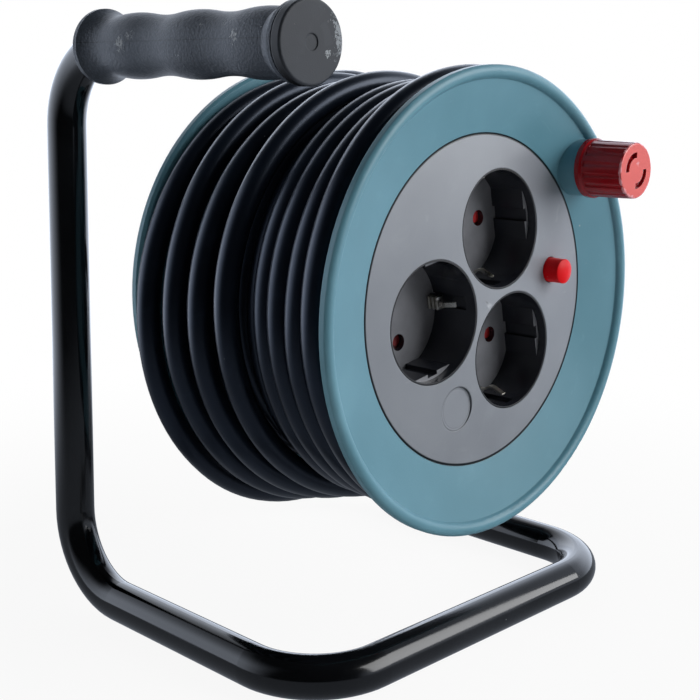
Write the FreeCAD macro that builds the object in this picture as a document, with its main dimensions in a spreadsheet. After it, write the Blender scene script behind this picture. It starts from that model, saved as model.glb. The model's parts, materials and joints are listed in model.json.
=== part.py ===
import FreeCAD, Part
import math
import os
import re
import Sketcher

Vec = FreeCAD.Vector
X_AXIS = Vec(1, 0, 0)
Y_AXIS = Vec(0, 1, 0)
Z_AXIS = Vec(0, 0, 1)

# Driving sizes in millimetres and degrees.
# The origin is the middle of the foot on the floor. X runs along the axle
# towards the sockets, Y across the foot, Z up. Angles are seen from +X and
# count from +Y towards +Z.
SIZES = (
    ("tube_radius", 7.0, "stand tube, outside"),
    ("tube_wall", 1.5, "stand tube"),
    ("bend_radius", 28.0, "stand tube, on its centre line"),
    ("foot_width", 158.0, "foot, tube centre to tube centre"),
    ("foot_depth", 128.0, "foot, tube centre to tube centre"),
    ("hub_height", 119.5, "axle above the floor"),
    ("handle_height", 204.0, "handle's centre above the floor"),
    ("handle_reach", 62.0, "free end of the handle's tube"),
    ("axle_reach", 26.0, "free end of the axle"),
    ("running_gap", 0.06, "radial, between a pin and its bore"),
    ("slip_gap", 0.3, "between pieces that pass each other"),
    ("push_gap", 0.1, "radial, between pieces pushed together"),
    ("grip_length", 102.0, "grip and cap without the cap's end wall"),
    ("grip_radius", 10.4, "grip, mean"),
    ("grip_swell", 0.6, "finger waves, each way"),
    ("grip_disc", 12.85, "radius of the collar at the grip's root"),
    ("grip_lip", 12.4, "radius of the lip at the grip's end"),
    ("grip_head", 13.0, "collar and flare"),
    ("grip_tail", 9.0, "flare, lip and cap"),
    ("cap_radius", 12.75, "end cap"),
    ("cap_wall", 1.4, "end cap beyond the tube"),
    ("cap_depth", 3.0, "end cap over the tube"),
    ("rim_radius", 79.0, "flange"),
    ("mouth_radius", 56.4, "mouth of each flange"),
    ("barrel_radius", 52.5, "winding barrel, outside"),
    ("wall", 2.2, "drum moulding"),
    ("panel_plane", 63.0, "edge of the socket panel"),
    ("drum_width", 83.6, "from the panel's edge to the rear mouth"),
    ("drum_turn", 10.0, "angle at which the drum stands"),
    ("dish_depth", 4.6, "flange web, from mouth to bead"),
    ("bead_width", 4.2, "rolled rim"),
    ("bead_height", 1.2, "rolled rim"),
    ("bead_step", 0.8, "step from the web to the bead"),
    ("lip_depth", 3.0, "rim's outer face"),
    ("spigot_length", 6.0, "joint of the two drum halves"),
    ("spigot_wall", 1.7, "joint of the two drum halves"),
    ("ledge_thickness", 1.6, "seat of the socket panel"),
    ("partition_plane", 11.0, "front face of the drum's inner wall"),
    ("sleeve_radius", 11.5, "hub sleeve, outside"),
    ("sleeve_rear", -25.0, "hub sleeve, rear end"),
    ("sleeve_front", 19.0, "hub sleeve, front end"),
    ("bush_wall", 1.94, "hub bush"),
    ("bush_collar", 1.2, "hub bush, collar thickness"),
    ("rib_height", 3.0, "ribs on the inner wall"),
    ("rib_width", 2.0, "ribs on the inner wall"),
    ("washer_thickness", 1.5, "washers beside the hub"),
    ("collar_length", 5.0, "stop collar on the axle"),
    ("collar_radius", 11.0, "stop collar and washers"),
    ("circlip_width", 1.2, "circlip on the axle"),
    ("circlip_depth", 0.6, "groove of the circlip"),
    ("circlip_radius", 9.5, "circlip, outside"),
    ("dome_height", 2.1, "socket panel, middle above its edge"),
    ("panel_thickness", 2.0, "socket panel"),
    ("socket_circle", 25.16, "centres of the sockets"),
    ("socket_radius", 20.0, "socket recess"),
    ("socket_depth", 17.9, "socket recess, from the panel's face"),
    ("socket_wall", 1.6, "socket well"),
    ("mouth_sleeve", 0.6, "socket well, wall inside the panel's hole"),
    ("guide_drop", 4.0, "guide flats below the mouth"),
    ("socket_floor", 2.2, "socket well, floor thickness"),
    ("socket_flat", 17.9, "guide flats from the socket's centre"),
    ("guide_width", 4.6, "guide grooves and earth slots"),
    ("guide_depth", 1.2, "guide grooves"),
    ("earth_groove", 1.0, "grooves behind the earth contacts"),
    ("pin_pitch", 19.0, "plug pins, centre to centre"),
    ("pin_hole", 2.85, "pin holes' radius"),
    ("chamber_depth", 3.1, "room for the shutter under the floor"),
    ("shutter_thickness", 1.2, "shutter"),
    ("shutter_width", 6.4, "shutter"),
    ("shutter_length", 25.0, "shutter"),
    ("pivot_radius", 1.5, "shutter's pivot"),
    ("strap_foot", 4.2, "earth strap, where it stands in the floor"),
    ("strap_width", 1.7, "earth strap, contact finger"),
    ("strap_thickness", 0.8, "earth strap"),
    ("strap_bend", 2.6, "earth strap's bends"),
    ("strap_reach", 18.5, "earth strap's outer side from the socket's centre"),
    ("strap_bulge", 14.9, "earth contact from the socket's centre"),
    ("base_thickness", 2.4, "contact base"),
    ("pillar_circle", 44.0, "contact base's pillars"),
    ("pillar_radius", 4.0, "contact base's pillars"),
    ("pillar_angle", 90.0, "first pillar"),
    ("drum_screw", 1.9, "drum screws, shank radius"),
    ("drum_screw_head", 3.5, "drum screws, head radius"),
    ("boss_circle", 46.5, "panel bosses"),
    ("boss_angle", -17.0, "first panel boss"),
    ("boss_radius", 3.2, "panel bosses"),
    ("panel_screw", 1.5, "panel screws, shank radius"),
    ("panel_screw_head", 2.8, "panel screws, head radius"),
    ("sleeve_contact", 3.5, "pin sleeves, outside radius"),
    ("sleeve_bore", 2.5, "pin sleeves, bore radius"),
    ("sleeve_length", 11.0, "pin sleeves"),
    ("bar_width", 6.0, "contact bars"),
    ("bar_thickness", 0.8, "contact bars"),
    ("button_circle", 38.4, "reset button from the axle"),
    ("button_radius", 4.35, "reset button"),
    ("button_height", 6.9, "reset button above the panel"),
    ("button_travel", 3.0, "reset button"),
    ("button_collar", 5.5, "reset button's collar radius"),
    ("breaker_side", 13.0, "overload breaker's body"),
    ("breaker_neck", 7.0, "overload breaker's neck radius"),
    ("emblem_circle", 37.5, "round recess from the axle"),
    ("emblem_radius", 7.5, "round recess"),
    ("emblem_depth", 0.4, "round recess"),
    ("knob_inset", 12.0, "winding knob from the rim"),
    ("knob_angle", 29.6, "winding knob"),
    ("knob_boss", 10.2, "boss under the knob, radius"),
    ("knob_stand", 8.0, "knob's base above the panel's edge"),
    ("knob_length", 18.6, "knob"),
    ("knob_base", 10.7, "knob's base, radius"),
    ("knob_radius", 10.1, "knob's body, radius"),
    ("knob_end", 9.85, "knob's end, radius"),
    ("flute_radius", 1.6, "knob's flutes"),
    ("flute_depth", 0.45, "knob's flutes"),
    ("flute_count", 16, "knob's flutes"),
    ("key_circle", 5.4, "curved key slots in the knob's end"),
    ("key_width", 1.9, "curved key slots"),
    ("key_depth", 1.6, "curved key slots"),
    ("key_angle", 125.0, "first key slot"),
    ("spindle_radius", 3.1, "knob's spindle"),
    ("spindle_head", 4.0, "knob's spindle, snap head"),
    ("cable_radius", 4.1, "flexible cable"),
    ("coil_radius", 79.5, "wound cable, outside"),
    ("coil_drop", 2.5, "how far the wound cable hangs"),
    ("grommet_radius", 6.0, "grommet in the barrel"),
    ("grommet_collar", 1.5, "grommet, collar beyond its neck"),
    ("clamp_circle", 38.0, "cord clamp from the axle"),
    ("clamp_length", 22.0, "cord clamp"),
    ("clamp_width", 6.0, "cord clamp"),
    ("clamp_thickness", 3.0, "cord clamp"),
    ("clamp_pitch", 15.0, "cord clamp's screws"),
    ("plug_radius", 18.5, "plug"),
    ("plug_face", -17.0, "plug's face along the axle"),
    ("plug_depth", 26.0, "plug"),
    ("plug_angle", -105.0, "plug's place, seen from the sockets' side"),
    ("plug_turn", -20.0, "direction of the plug's cable sleeve"),
    ("plug_sleeve", 29.0, "cable sleeve's end from the plug's centre"),
    ("plug_pin_radius", 2.4, "plug pins"),
    ("plug_pin_length", 19.0, "plug pins"),
)

# Places that follow from the sizes.
BORE = "(barrel_radius - wall)"
PANEL_RADIUS = "(mouth_radius - slip_gap)"
REAR_PLANE = "(panel_plane - drum_width)"
JOINT_PLANE = "(panel_plane - drum_width / 2)"
BEAD_FOOT = "(rim_radius - bead_width - bead_step / 2)"
BEAD_ARC = "((bead_width * bead_width / 4 + bead_height * bead_height) / (2 * bead_height))"
WEB_SLOPE = "(dish_depth / (%s - mouth_radius))" % BEAD_FOOT
WEB_RUN = "(wall * sqrt(1 + %s * %s))" % (WEB_SLOPE, WEB_SLOPE)
WEB_ROOT = "(panel_plane + %s * wall - %s)" % (WEB_SLOPE, WEB_RUN)
DOME_ARC = "((%s * %s + dome_height * dome_height) / (2 * dome_height))" % (PANEL_RADIUS, PANEL_RADIUS)
PANEL_BACK = "(panel_plane - panel_thickness)"
LEDGE_BACK = "(%s - ledge_thickness)" % PANEL_BACK
BUSH_BORE = "(tube_radius + running_gap)"
BUSH_RADIUS = "(tube_radius + running_gap + bush_wall)"
MOUTH_PLANE = "(panel_plane + dome_height * (1 - (socket_circle / %s) ^ 2))" % PANEL_RADIUS
WELL_REACH = "(socket_circle + socket_radius + socket_wall)"
WELL_SHOULDER = "(%s + dome_height * (1 - (%s / %s) ^ 2) - slip_gap)" % (PANEL_BACK, WELL_REACH, PANEL_RADIUS)
FLOOR_TOP = "(%s - socket_depth)" % MOUTH_PLANE
FLOOR_BACK = "(%s - socket_floor)" % FLOOR_TOP
BASE_FRONT = "(%s - chamber_depth)" % FLOOR_BACK
BASE_BACK = "(%s - base_thickness)" % BASE_FRONT
ENTRY_PLANE = "(%s - grommet_radius - grommet_collar - slip_gap)" % BASE_BACK
SADDLE_PLANE = "(%s + cable_radius + push_gap)" % ENTRY_PLANE
CLAMP_FACE = "(%s - cable_radius - push_gap)" % ENTRY_PLANE
BUTTON_FACE = "(panel_plane + dome_height * (1 - (button_circle / %s) ^ 2))" % PANEL_RADIUS
BUTTON_SEAT = "(%s - panel_thickness - slip_gap)" % BUTTON_FACE
KNOB_PLANE = "(panel_plane + knob_stand)"
KNOB_CIRCLE = "(rim_radius - knob_inset)"
BUSH_REAR = "(sleeve_rear - bush_collar)"
FRONT_WASHER = "(sleeve_front + slip_gap)"
CIRCLIP_PLANE = "(sleeve_front + 2 * slip_gap + washer_thickness)"
GRIP_START = "(handle_reach - grip_length)"
GRIP_WAVE = "((grip_length - grip_head - grip_tail) / 5)"
WAVE_ARC = "((%s * %s / 4 + grip_swell * grip_swell) / (2 * grip_swell))" % (GRIP_WAVE, GRIP_WAVE)
HANDLE_Y = "(-foot_width / 2)"
COIL_REAR = "(%s + wall + slip_gap)" % REAR_PLANE
COIL_FRONT = "(%s - slip_gap)" % LEDGE_BACK
COIL_BORE = "(barrel_radius + slip_gap)"
PLUG_CIRCLE = "(%s - plug_radius - slip_gap)" % BORE

SOCKETS = (("1", 60, 0), ("2", -60, 0), ("3", 180, -90))

doc = FreeCAD.newDocument("CordReel")
sheet = doc.addObject("Spreadsheet::Sheet", "Sizes")
for row, (alias, size, note) in enumerate(SIZES, 1):
    sheet.set("A%d" % row, note)
    sheet.set("B%d" % row, str(size))
    sheet.setAlias("B%d" % row, alias)
doc.recompute()

ALIASES = re.compile(r"\b(%s)\b" % "|".join(alias for alias, size, note in SIZES))
nodes = []


def bound(formula):
    return ALIASES.sub(r"Sizes.\1", str(formula))


def value(formula):
    return float(sheet.evalExpression(bound(formula)))


def place(piece, x="0", y="0", z="0", turn="0"):
    piece.Placement = FreeCAD.Placement(Vec(0, 0, 0), FreeCAD.Rotation(X_AXIS, 1))
    for path, formula in (("Base.x", x), ("Base.y", y), ("Base.z", z), ("Rotation.Angle", turn)):
        piece.setExpression("Placement." + path, bound(formula))


def place_on_drum(piece, circle="0", angle="0", turn="0"):
    place(piece, "0",
          "%s * cos(%s + drum_turn)" % (circle, angle),
          "hub_height + %s * sin(%s + drum_turn)" % (circle, angle),
          "drum_turn + %s" % turn)


def keep(piece, label=None):
    if label:
        piece.Label = label
    nodes.append(piece)
    return piece


def new_body(label, pieces=1):
    body = doc.addObject("PartDesign::Body", label)
    body.Label = label
    body.AllowCompound = pieces > 1
    return body


def new_sketch(body, plane, offset="0"):
    sketch = body.newObject("Sketcher::SketchObject", body.Label + "_sketch")
    datum = [item for item in body.Origin.OriginFeatures if item.Role == plane][0]
    sketch.AttachmentSupport = [(datum, "")]
    sketch.MapMode = "FlatFace"
    sketch.setExpression("AttachmentOffset.Base.z", bound(offset))
    return sketch


def dimension(sketch, kind, formula, *place_in_sketch):
    number = sketch.addConstraint(Sketcher.Constraint(kind, *place_in_sketch, value(formula)))
    sketch.setExpression("Constraints[%d]" % number, bound(formula))


# A closed outline. Each step is the next point, and a third entry is the
# radius of the arc that leads to it, positive where the arc turns left.
def add_outline(sketch, steps):
    corners = [(value(step[0]), value(step[1])) for step in steps]
    ends = []
    for index, (step, corner) in enumerate(zip(steps, corners)):
        before = corners[index - 1]
        start = Vec(before[0], before[1], 0)
        end = Vec(corner[0], corner[1], 0)
        if len(step) == 2:
            edge = sketch.addGeometry(Part.LineSegment(start, end), False)
        else:
            radius = value(step[2])
            chord = end - start
            left = Vec(-chord.y, chord.x, 0).normalize()
            sagitta = abs(radius) - math.sqrt(radius * radius - chord.Length ** 2 / 4)
            middle = (start + end) / 2 - left * math.copysign(sagitta, radius)
            edge = sketch.addGeometry(Part.Arc(start, middle, end), False)
            dimension(sketch, "Radius", "abs(%s)" % step[2], edge)
        first = 1 if (sketch.getPoint(edge, 1) - start).Length < 1e-6 else 2
        ends.append((edge, first, 3 - first))
    for index, (edge, first, last) in enumerate(ends):
        following, entry, leave = ends[(index + 1) % len(ends)]
        sketch.addConstraint(Sketcher.Constraint("Coincident", edge, last, following, entry))
        dimension(sketch, "DistanceX", steps[index][0], -1, 1, edge, last)
        dimension(sketch, "DistanceY", steps[index][1], -1, 1, edge, last)


def add_circle(sketch, y, z, radius):
    centre = Vec(value(y), value(z), 0)
    edge = sketch.addGeometry(Part.Circle(centre, Z_AXIS, value(radius)), False)
    dimension(sketch, "Radius", radius, edge)
    dimension(sketch, "DistanceX", y, -1, 1, edge, 3)
    dimension(sketch, "DistanceY", z, -1, 1, edge, 3)


def rectangle(y, z, width, height):
    left, right = "%s - (%s) / 2" % (y, width), "%s + (%s) / 2" % (y, width)
    low, high = "%s - (%s) / 2" % (z, height), "%s + (%s) / 2" % (z, height)
    return [(left, low), (right, low), (right, high), (left, high)]


def add_feature(body, kind, sketch, **sizes):
    before = body.Shape.Volume if body.Tip else 0.0
    feature = body.newObject("PartDesign::" + kind, "%s_%s" % (body.Label, kind))
    feature.Profile = sketch
    for name, formula in sizes.items():
        feature.setExpression(name, bound(formula))
    if kind in ("Revolution", "Groove"):
        feature.ReferenceAxis = (sketch, ["H_Axis"])
        feature.Angle = 360
    if kind == "Pocket":
        feature.Reversed = True
    doc.recompute()
    if abs(body.Shape.Volume - before) < 1e-3:
        raise RuntimeError("%s of %s changes nothing" % (kind, body.Label))
    return feature


def revolve(body, steps, kind="Revolution"):
    sketch = new_sketch(body, "XZ_Plane")
    add_outline(sketch, steps)
    return add_feature(body, kind, sketch)


# Discs and holes run towards +X from their plane.
def discs(body, plane, length, circles, kind="Pad"):
    sketch = new_sketch(body, "YZ_Plane", plane)
    for y, z, radius in circles:
        add_circle(sketch, y, z, radius)
    return add_feature(body, kind, sketch, Length=length)


def plates(body, plane, length, outlines, kind="Pad"):
    sketch = new_sketch(body, "YZ_Plane", plane)
    for steps in outlines:
        add_outline(sketch, steps)
    return add_feature(body, kind, sketch, Length=length)


def repeat(body, feature, count):
    pattern = body.newObject("PartDesign::PolarPattern", body.Label + "_pattern")
    pattern.Originals = [feature]
    pattern.Axis = (feature.Profile[0], ["N_Axis"])
    pattern.Angle = 360
    pattern.setExpression("Occurrences", bound(count))
    body.Tip = pattern
    before = body.Shape.Volume
    doc.recompute()
    if abs(body.Shape.Volume - before) < 1e-3:
        raise RuntimeError("pattern of %s changes nothing" % body.Label)
    return pattern


def ring_points(circle, angles):
    return [("%s * cos(%s)" % (circle, angle), "%s * sin(%s)" % (circle, angle)) for angle in angles]


# A wire of straight runs joined by tangent arcs. Without a radius each arc is
# as large as its two runs allow.
def bent_wire(points, radius=None):
    edges = []
    radii = []
    start = points[0]
    for before, corner, after in zip(points, points[1:], points[2:]):
        to_before = before - corner
        to_after = after - corner
        half_turn = (math.pi - to_before.getAngle(to_after)) / 2
        run = min(to_before.Length, to_after.Length)
        arc = radius or 0.45 * run / math.tan(half_turn)
        radii.append(arc)
        setback = arc * math.tan(half_turn)
        enter = corner + to_before.normalize() * setback
        leave = corner + to_after.normalize() * setback
        inward = (to_before + to_after).normalize()
        centre = corner + inward * (arc / math.cos(half_turn))
        edges.append(Part.LineSegment(start, enter).toShape())
        edges.append(Part.Arc(enter, centre - inward * arc, leave).toShape())
        start = leave
    edges.append(Part.LineSegment(start, points[-1]).toShape())
    return Part.Wire(edges), radii


def tube_along(wire, radius):
    start = wire.OrderedVertexes[0].Point
    heading = wire.OrderedEdges[0].tangentAt(wire.OrderedEdges[0].FirstParameter)
    section = Part.Wire([Part.Circle(start, heading, radius).toShape()])
    return wire.makePipeShell([section], True, False)


def shape_piece(label, shape):
    piece = doc.addObject("Part::Feature", label)
    piece.Shape = shape
    return keep(piece, label)


# Stand

def make_frame_tube():
    front = value("foot_depth / 2")
    side = value("foot_width / 2")
    low = value("tube_radius")
    top = value("handle_height")
    hub = value("hub_height")
    corners = [
        Vec(value("handle_reach"), -side, top),
        Vec(-front, -side, top),
        Vec(-front, -side, low),
        Vec(front, -side, low),
        Vec(front, side, low),
        Vec(-front, side, low),
        Vec(-front, 0, hub),
        Vec(value("axle_reach"), 0, hub),
    ]
    wire, radii = bent_wire(corners, value("bend_radius"))
    tube = tube_along(wire, value("tube_radius"))
    tube = tube.cut(tube_along(wire, value("tube_radius - tube_wall")))
    groove = Vec(value(CIRCLIP_PLANE), 0, hub)
    width = value("circlip_width")
    outer = Part.makeCylinder(value("tube_radius + 1"), width, groove, X_AXIS)
    inner = Part.makeCylinder(value("tube_radius - circlip_depth"), width, groove, X_AXIS)
    shape_piece("frame_tube", tube.cut(outer.cut(inner)))


def make_handle_grip():
    body = new_body("handle_grip")
    bore = "(tube_radius + push_gap)"
    end = "(handle_reach - cap_depth)"
    steps = [
        (GRIP_START, bore + " + 0.5"),
        (GRIP_START + " + 4.6", bore),
        (end, bore),
        (end, "grip_lip"),
        (end + " - 1.4", "grip_lip"),
        ("%s + grip_head + 5 * %s" % (GRIP_START, GRIP_WAVE), "grip_radius", "-9"),
    ]
    for wave in (4, 3, 2, 1, 0):
        side = "" if wave % 2 == 0 else "-"
        steps.append(("%s + grip_head + %d * %s" % (GRIP_START, wave, GRIP_WAVE), "grip_radius", side + WAVE_ARC))
    steps += [
        (GRIP_START + " + 2.2", "grip_disc", "-14"),
        (GRIP_START + " + 0.6", "grip_disc"),
        (GRIP_START, "grip_disc - 0.6", "0.6"),
    ]
    revolve(body, steps)
    place(body, "0", HANDLE_Y, "handle_height")
    keep(body)


def make_grip_end_cap():
    body = new_body("grip_end_cap")
    bore = "(tube_radius + push_gap)"
    start = "(handle_reach - cap_depth)"
    face = "(handle_reach + cap_wall)"
    revolve(body, [
        (start, bore),
        ("handle_reach", bore),
        ("handle_reach", "0"),
        (face, "0"),
        (face, "cap_radius - 0.8"),
        (face + " - 0.8", "cap_radius", "0.8"),
        (start + " + 0.9", "cap_radius"),
        (start + " + 0.9", "cap_radius - 1.5"),
        (start, "cap_radius - 1.5"),
    ])
    discs(body, face + " - 0.3", "0.3", [("0", "0", "2.5")], "Pocket")
    place(body, "0", HANDLE_Y, "handle_height")
    keep(body)


def make_axle_rings():
    rings = (
        ("stop_collar", "%s - slip_gap - washer_thickness - collar_length" % BUSH_REAR,
         "collar_length", "tube_radius", "collar_radius"),
        ("thrust_washer", "%s - slip_gap - washer_thickness" % BUSH_REAR,
         "washer_thickness", "tube_radius + push_gap", "collar_radius + 1"),
        ("retaining_washer", FRONT_WASHER,
         "washer_thickness", "tube_radius + push_gap", "collar_radius"),
    )
    for label, plane, width, bore, radius in rings:
        body = new_body(label)
        discs(body, plane, width, [("0", "0", bore), ("0", "0", radius)])
        place(body, "0", "0", "hub_height")
        keep(body)
    body = new_body("axle_circlip")
    discs(body, CIRCLIP_PLANE, "circlip_width", [("0", "0", "tube_radius - circlip_depth"), ("0", "0", "circlip_radius")])
    plates(body, CIRCLIP_PLANE, "circlip_width", [rectangle("0", "-8", "6.4", "9")], "Pocket")
    place(body, "0", "0", "hub_height")
    keep(body)


# Drum

# The rolled rim and the web down to the barrel, from the mouth outwards.
def flange_steps(side):
    plane = "panel_plane" if side > 0 else REAR_PLANE
    sign = "+" if side > 0 else "-"
    opposite = "-" if side > 0 else "+"
    turn = "" if side > 0 else "-"
    web = "%s %s dish_depth" % (plane, sign)
    bead = "%s %s bead_step" % (web, sign)
    back = "%s %s %s" % (web, opposite, WEB_RUN)
    root = WEB_ROOT if side > 0 else "2 * %s - %s" % (JOINT_PLANE, WEB_ROOT)
    floor = LEDGE_BACK if side > 0 else "%s + wall" % REAR_PLANE
    return [
        (plane, "mouth_radius"),
        (web, BEAD_FOOT),
        (bead, "rim_radius - bead_width"),
        (bead, "rim_radius", turn + BEAD_ARC),
        ("%s %s (lip_depth - 1)" % (bead, opposite), "rim_radius"),
        (back, "rim_radius - 1"),
        (back, BEAD_FOOT),
        (root, "mouth_radius + wall"),
        (floor, "mouth_radius + wall / 2"),
        (floor, "barrel_radius"),
    ]


def make_front_flange():
    body = new_body("front_flange")
    spigot = "(%s - push_gap)" % BORE
    inside = "(%s - push_gap - spigot_wall)" % BORE
    revolve(body, flange_steps(1) + [
        (JOINT_PLANE, "barrel_radius"),
        (JOINT_PLANE, spigot),
        ("%s - spigot_length" % JOINT_PLANE, spigot),
        ("%s - spigot_length" % JOINT_PLANE, inside),
        ("%s + 2" % JOINT_PLANE, inside),
        ("%s + 2 + spigot_wall" % JOINT_PLANE, BORE),
        (PANEL_BACK, BORE),
        (PANEL_BACK, "mouth_radius"),
    ])
    knob = (KNOB_CIRCLE + " * cos(knob_angle)", KNOB_CIRCLE + " * sin(knob_angle)")
    foot = "(panel_plane + %s * (%s - mouth_radius) - %s)" % (WEB_SLOPE, KNOB_CIRCLE, WEB_RUN)
    discs(body, foot, "%s - slip_gap - %s" % (KNOB_PLANE, foot), [knob + ("knob_boss",)])
    discs(body, foot, "knob_stand + dish_depth", [knob + ("spindle_radius",)], "Pocket")
    add_cable_entry(body)
    place_on_drum(body)
    keep(body)


# The hole low in the barrel that the cable comes in by.
def add_cable_entry(body):
    sketch = new_sketch(body, "XY_Plane")
    add_circle(sketch, ENTRY_PLANE, "0", "grommet_radius")
    before = body.Shape.Volume
    pocket = body.newObject("PartDesign::Pocket", "cable_entry")
    pocket.Profile = sketch
    pocket.Reversed = False
    pocket.setExpression("Length", bound("barrel_radius + 1"))
    doc.recompute()
    if not 10 < before - body.Shape.Volume < 1000:
        raise RuntimeError("the cable entry doesn't pierce the barrel once")


def make_rear_flange():
    body = new_body("rear_flange")
    revolve(body, flange_steps(-1) + [
        (JOINT_PLANE, "barrel_radius"),
        (JOINT_PLANE, BORE),
        ("partition_plane", BORE),
        ("partition_plane", "sleeve_radius"),
        ("sleeve_front", "sleeve_radius"),
        ("sleeve_front", BUSH_RADIUS),
        ("sleeve_rear", BUSH_RADIUS),
        ("sleeve_rear", "sleeve_radius"),
        ("partition_plane - wall", "sleeve_radius"),
        ("partition_plane - wall", BORE),
        (REAR_PLANE + " + wall", BORE),
        (REAR_PLANE, BORE + " + wall", "-wall"),
    ])
    middle = "(sleeve_radius + %s) / 2" % BORE
    length = "(%s - sleeve_radius + 1)" % BORE
    rib = plates(body, "partition_plane - wall - rib_height", "rib_height + 0.5",
                 [rectangle(middle, "0", length, "rib_width")])
    repeat(body, rib, "6")
    holes = ring_points("pillar_circle", ["pillar_angle + 120 * %d" % turn for turn in range(3)])
    discs(body, "partition_plane - wall - 1", "wall + 2",
          [hole + ("drum_screw + push_gap",) for hole in holes], "Pocket")
    place_on_drum(body)
    keep(body)


def make_hub_bush():
    body = new_body("hub_bush")
    revolve(body, [
        (BUSH_REAR, BUSH_BORE),
        ("sleeve_front", BUSH_BORE),
        ("sleeve_front", BUSH_RADIUS),
        ("sleeve_rear", BUSH_RADIUS),
        ("sleeve_rear", "sleeve_radius"),
        (BUSH_REAR, "sleeve_radius"),
    ])
    place_on_drum(body)
    keep(body)


def make_drum_screws():
    body = new_body("drum_screws", 3)
    points = ring_points("pillar_circle", ["pillar_angle + 120 * %d" % turn for turn in range(3)])
    seat = "(partition_plane - wall)"
    discs(body, seat, "18", [point + ("drum_screw",) for point in points])
    discs(body, seat + " - 2.4", "2.4", [point + ("drum_screw_head",) for point in points])
    place_on_drum(body)
    keep(body)


# Socket insert

def make_socket_panel():
    body = new_body("socket_panel")
    revolve(body, [
        ("panel_plane + dome_height", "0"),
        ("panel_plane", PANEL_RADIUS, DOME_ARC),
        (PANEL_BACK, PANEL_RADIUS),
        ("panel_plane + dome_height - panel_thickness", "0", "-" + DOME_ARC),
    ])
    bosses = ring_points("boss_circle", ["boss_angle + 120 * %d" % turn for turn in range(3)])
    discs(body, BASE_FRONT, "panel_plane - %s" % BASE_FRONT, [boss + ("boss_radius",) for boss in bosses])
    discs(body, BASE_FRONT, "14", [boss + ("panel_screw",) for boss in bosses], "Pocket")
    mouths = ring_points("socket_circle", [str(angle) for name, angle, turn in SOCKETS])
    discs(body, PANEL_BACK, "dome_height + panel_thickness + 1",
          [mouth + ("socket_radius + mouth_sleeve + push_gap",) for mouth in mouths], "Pocket")
    discs(body, PANEL_BACK, "dome_height + panel_thickness + 1",
          [("button_circle", "0", "button_radius + slip_gap")], "Pocket")
    emblem = ring_points("emblem_circle", ["-120"])[0]
    face = "panel_plane + dome_height * (1 - (emblem_circle / %s) ^ 2)" % PANEL_RADIUS
    discs(body, face + " - emblem_depth", "2", [emblem + ("emblem_radius",)], "Pocket")
    place_on_drum(body)
    keep(body)


def make_panel_screws():
    body = new_body("panel_screws", 3)
    points = ring_points("boss_circle", ["boss_angle + 120 * %d" % turn for turn in range(3)])
    discs(body, BASE_BACK, "12", [point + ("panel_screw",) for point in points])
    discs(body, BASE_BACK + " - 2", "2", [point + ("panel_screw_head",) for point in points])
    place_on_drum(body)
    keep(body)


def pin_places():
    places = []
    for name, angle, turn in SOCKETS:
        for side in ("-", "+"):
            places.append((
                "socket_circle * cos(%d) %s pin_pitch / 2 * cos(%d)" % (angle, side, turn),
                "socket_circle * sin(%d) %s pin_pitch / 2 * sin(%d)" % (angle, side, turn)))
    return places


def clamp_places():
    return [("%s clamp_pitch / 2" % side, "-clamp_circle") for side in ("-", "")]


def make_contact_base():
    body = new_body("contact_base")
    disc = "(%s - 2 * push_gap)" % BORE
    discs(body, BASE_BACK, "base_thickness", [("0", "0", disc)])
    pillars = ring_points("pillar_circle", ["pillar_angle + 120 * %d" % turn for turn in range(3)])
    discs(body, "partition_plane", "%s + 0.5 - partition_plane" % BASE_BACK,
          [pillar + ("pillar_radius",) for pillar in pillars])
    discs(body, "partition_plane", "18 - wall", [pillar + ("drum_screw",) for pillar in pillars], "Pocket")
    posts = clamp_places()
    discs(body, CLAMP_FACE, "%s + 0.5 - %s" % (BASE_BACK, CLAMP_FACE), [post + ("2.8",) for post in posts])
    discs(body, CLAMP_FACE, "6", [post + ("1.2",) for post in posts], "Pocket")
    plates(body, SADDLE_PLANE, "%s + 0.5 - %s" % (BASE_BACK, SADDLE_PLANE),
           [rectangle("0", "-clamp_circle", "clamp_pitch", "clamp_width")])
    screws = ring_points("boss_circle", ["boss_angle + 120 * %d" % turn for turn in range(3)])
    holes = [screw + ("panel_screw + push_gap",) for screw in screws]
    holes += [pin + ("sleeve_bore + 0.4",) for pin in pin_places()]
    centres = ring_points("socket_circle", [str(angle) for name, angle, turn in SOCKETS])
    holes += [centre + ("pivot_radius",) for centre in centres]
    discs(body, BASE_BACK, "base_thickness + 1", holes, "Pocket")
    place_on_drum(body)
    keep(body)


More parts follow.
